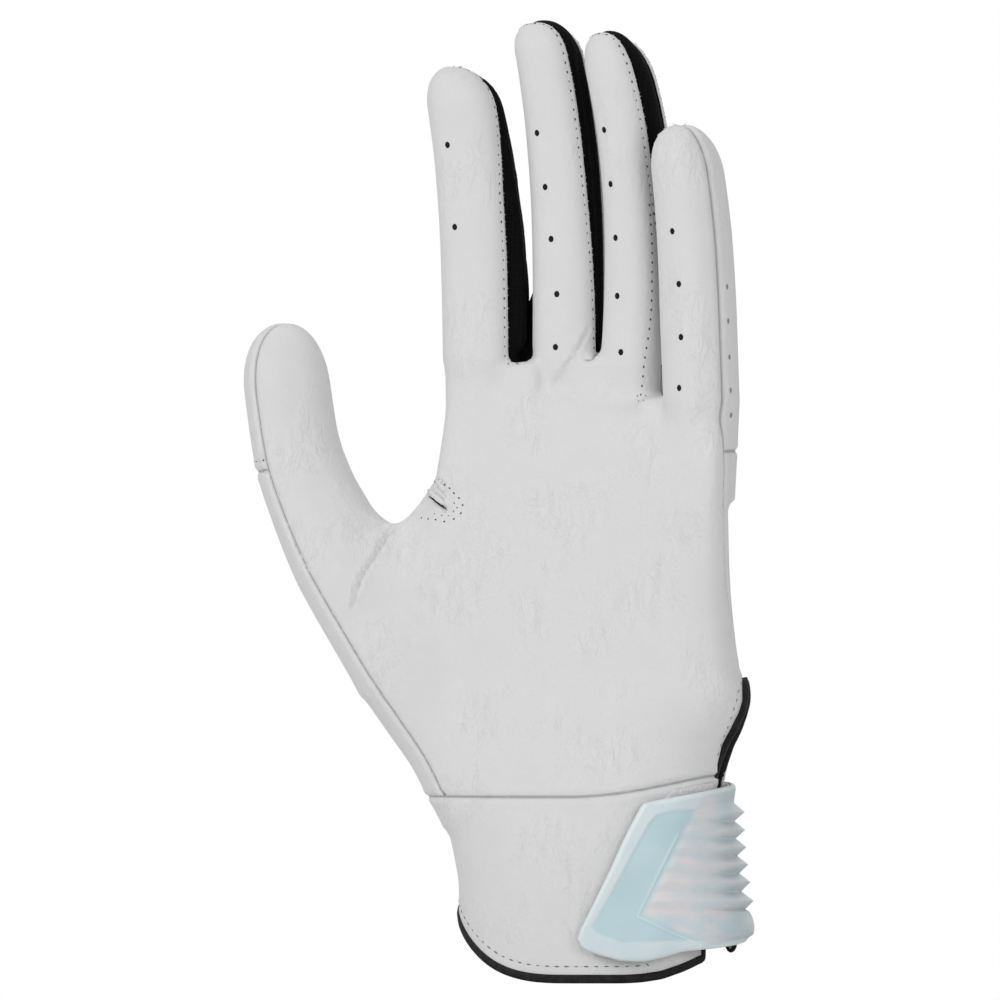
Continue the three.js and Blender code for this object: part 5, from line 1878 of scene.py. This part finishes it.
lay_plate("loop_patch_pile", "loop_patch", "root", "strap_fabric", LOOP_PILE, *LOOP,
          LOOP_END, PATCH_INSET, 6, columns=60, top=-1.6)
lay_plate("hook_patch_pile", "hook_patch", "strap", "hook_black", HOOK_PILE, *HOOK,
          PATCH_END, PATCH_INSET, 6, columns=60)
lay_plate("strap_webbing", "strap_base", "strap", "strap_fabric", WEBBING, strap_lift, STRAP,
          STRAP_END, STRAP_INSET, 0.6)
lay_plate("anchor_webbing", "strap_anchor", "root", "strap_fabric", WEBBING, *ANCHOR,
          ANCHOR_END, STRAP_INSET, start=ANCHOR_START, columns=24)

# %% The moulded tab
RIB_TIPS = [40.8, 36.5, 32.4, 28.2, 24.0, 19.5]
RIB_REACH, RIB_PITCH = 2.45, 4.3
BAND_INNER = [
    (700, 770), (700, 790), (676, 839), (637.5, 916.5), (676, 934.5), (700, 944), (704, 985)
]
BAND_OUTER = [
    (780, 803), (703, 807.5), (672, 812), (657, 815.5), (650, 823), (592, 928), (596, 933),
    (624, 943.5), (666, 941.5), (712, 941), (780, 935),
]
# Middle, half width, highest place and reach of the round rib below the others
LOBE, LOBE_HALF, LOBE_TOP, LOBE_REACH = 14.2, 3.4, 17.2, 1.6
FLAT_RIB, BORDER_PROUD, LIP_PROUD, TAB_ROUNDING = 0.34, 0.33, 0.16, 1.25
FAR_RIGHT = 900
# Angles at which the tab's ribs begin to grow, its flat front ends, and the ribs begin to sink
RIBS_GROW, FLAT_END, RIBS_SINK = 70, 92, 112


def side_of_line(q, line):
    """Distance in millimetres to a line in the picture, positive on the side of the fingers."""
    right = [(FAR_RIGHT, line[-1][1]), (FAR_RIGHT, line[0][1])]
    return line_distance(q, line) * np.where(in_outline(q, line + right), 1, -1)


def make_tab():
    angle, z = plate_grid(230, 190, 0.0, TAB_END)
    lift = strap_lift(z, angle) + STRAP + 0.1
    q = to_pixels(cuff_point(z.ravel(), angle.ravel(), lift.ravel() + 1.4))

    def from_line(line, most):
        signed = side_of_line(q, line).reshape(z.shape)
        return np.where(angle > FLAT_END, most, np.clip(signed, -20, most))

    inner, outer = from_line(BAND_INNER, 8.0), from_line(BAND_OUTER, 16.0)
    teeth = [np.clip(1 - np.abs(z - tip) / (RIB_PITCH / 2), 0, 1) for tip in RIB_TIPS]
    wave = np.max(teeth, axis=0)
    lobe = np.sqrt(np.clip(1 - ((z - LOBE) / LOBE_HALF) ** 2, 0, 1))
    grown = smooth(angle, RIBS_GROW, FLAT_END) * (1 - smooth(angle, RIBS_SINK, TAB_END))
    field = smooth(inner, 0.3, 2.6)
    ridge = wave * (RIB_REACH * grown + FLAT_RIB * field * (1 - grown))
    ridge = np.maximum(ridge, LOBE_REACH * lobe * grown * (z < LOBE_TOP))
    border = BORDER_PROUD * (1 - smooth(outer, -0.5, 0.35))
    lip = LIP_PROUD * bell(inner, 0.28) * (1 - smooth(z, 33, 37))
    thick = TAB_FLAT - 0.25 + border + lip + ridge
    thing, edge = plate_body("tab_moulding", angle, z, lift, thick, TAB_ROUNDING, None)
    # round steers the painted shade round the side, rib and edge steer the painted highlights
    read = dict(inner=inner, outer=outer, edge=edge, rib=wave * field, round=smooth(angle, 60, 96))
    for label, values in read.items():
        set_attribute(thing, label, np.tile(values.ravel(), 2))
    print("tab:", len(thing.data.polygons), "faces")
    return thing


def make_tab_plastic():
    # Thermoplastic polyurethane with a pearl pigment: pale blue, with a pink and grey cast on
    # the ribs. Painted shade darkens its side; painted highlights lighten crests, lip and rim
    looks = dict(Roughness=0.38, Specular_IOR_Level=0.4)
    material, tree, place = new_material("pearl_polyurethane", **looks)
    patches = noise(tree, squeezed(tree, place, 2.6), 150, 3, Roughness=0.6)
    broad, grain = noise(tree, place, 70, 2), noise(tree, place, 1600, 2)
    inner, outer = read_attribute(tree, "inner"), read_attribute(tree, "outer")

    def mix(share, a, b, *ends):
        return blend_colour(tree, between(tree, share, *ends), a, b)

    border = mix(broad, "#DAE3E5", "#D1E1E5", 0.35, 0.65)
    band = mix(broad, "#BAD4DB", "#C1DAE1", 0.3, 0.7)
    rose = mix(patches, "#E2DDDF", "#CFDCE1", 0.34, 0.66)
    grey = mix(patches, "#C9CFD2", "#B8CAD1", 0.34, 0.66)
    # Greyer and darker round the side: painted shade, over the pearl's pink and grey cast
    field = blend_colour(tree, read_attribute(tree, "round"), rose, grey)
    # Lighter on the crests of the ribs: a painted highlight
    field = mix(read_attribute(tree, "rib"), field, "#E4E2E4", 0.0, 1.0, 0.0, 0.3)
    colour = mix(outer, border, band, -0.3, 0.5)
    colour = mix(inner, colour, field, 0.4, 1.9)
    # A pale line along the raised lip of the band: a painted highlight
    line = between(tree, maths(tree, "ABSOLUTE", inner), 0.0, 0.22, 0.75, 0.0)
    height = add(tree, "ShaderNodeSeparateXYZ", {"Vector": place}).outputs["Z"]
    line = maths(tree, "MULTIPLY", line, between(tree, height, 0.033, 0.037, 1.0, 0.0))
    colour = blend_colour(tree, line, colour, "#E8F0F2")
    # Lighter at the rounded rim, most on the border: a painted highlight
    rim_highlight_share = between(tree, read_attribute(tree, "edge"), 0.2, 1.5, 0.8, 0.0)
    rim = maths(tree, "MULTIPLY", rim_highlight_share, between(tree, outer, 2.0, 6.0, 1.0, 0.25))
    colour = blend_colour(tree, rim, colour, "#E6EEEF")
    fine = maths(tree, "MULTIPLY", grain, 0.012)
    return finish_material(material, colour, maths(tree, "MULTIPLY_ADD", patches, 0.10, fine))


TAB = make_tab()
TAB.data.materials.append(make_tab_plastic())
attach(TAB, "strap")
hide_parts("strap_tab")

# %% [markdown]
# ## The back corner of the cuff
# Under the strap the back corner of the cuff stands off as a small bound tongue. Only its tip
# hangs out below the strap. It is a flat piece of leather with the tape sewn round it.

# %% Tongue of the back corner
TONGUE = [
    (711, 937), (723, 938.5), (727, 943), (728, 949.5), (730.5, 952.5), (734, 949.5), (735.5, 944),
    (735, 925), (729, 909), (711, 900),
]
TONGUE_Y = (711, 736), (9.6, 8.0)
TONGUE_PLACES, TONGUE_TUBE, TONGUE_HALF = 40, 0.55, 0.35


def tongue_places(pixels):
    """Places in the picture as places in space, at depths that follow TONGUE_Y."""
    pixels = np.array(pixels, float)
    across, height = from_pixels(*pixels.T)
    y = np.interp(pixels[:, 0], *TONGUE_Y)
    return np.stack([(across - y * RIGHT[1]) / RIGHT[0], y, height], 1)


def tongue_rim():
    """The tongue's rim as a smooth line with even steps."""
    line = tongue_places(TONGUE)
    run = run_along(line)
    line = read_along(np.linspace(0, run[-1], TONGUE_PLACES), run, line)
    for _ in range(4):
        line[1:-1] = (line[:-2] + 2 * line[1:-1] + line[2:]) / 4
    return line


def round_tube(name, line, radius, material):
    """Tube of one thickness along a line, with closed ends."""
    side = np.array([0.0, 1.0, 0.0])
    other = np.cross(unit(np.gradient(line, axis=0)), side)
    rings = [line + radius * (side * math.cos(t) + other * math.sin(t)) for t in TUBE_TURNS]
    return tube_body(name, rings, material)


rim = tongue_rim()
tongue_tape = round_tube("tongue_tape", rim, TONGUE_TUBE, TAPE)
attach(tongue_tape, "root")
flat = np.stack([rim[: TONGUE_PLACES // 2], rim[: TONGUE_PLACES // 2 - 1 : -1]], 1)
faces_at = [flat + [0, shift, 0] for shift in (-TONGUE_HALF, TONGUE_HALF)]
tongue = closed_grid("tongue_leather", *faces_at, LEATHER_SKIN)
far_from_seams(tongue)
attach(tongue, "root")
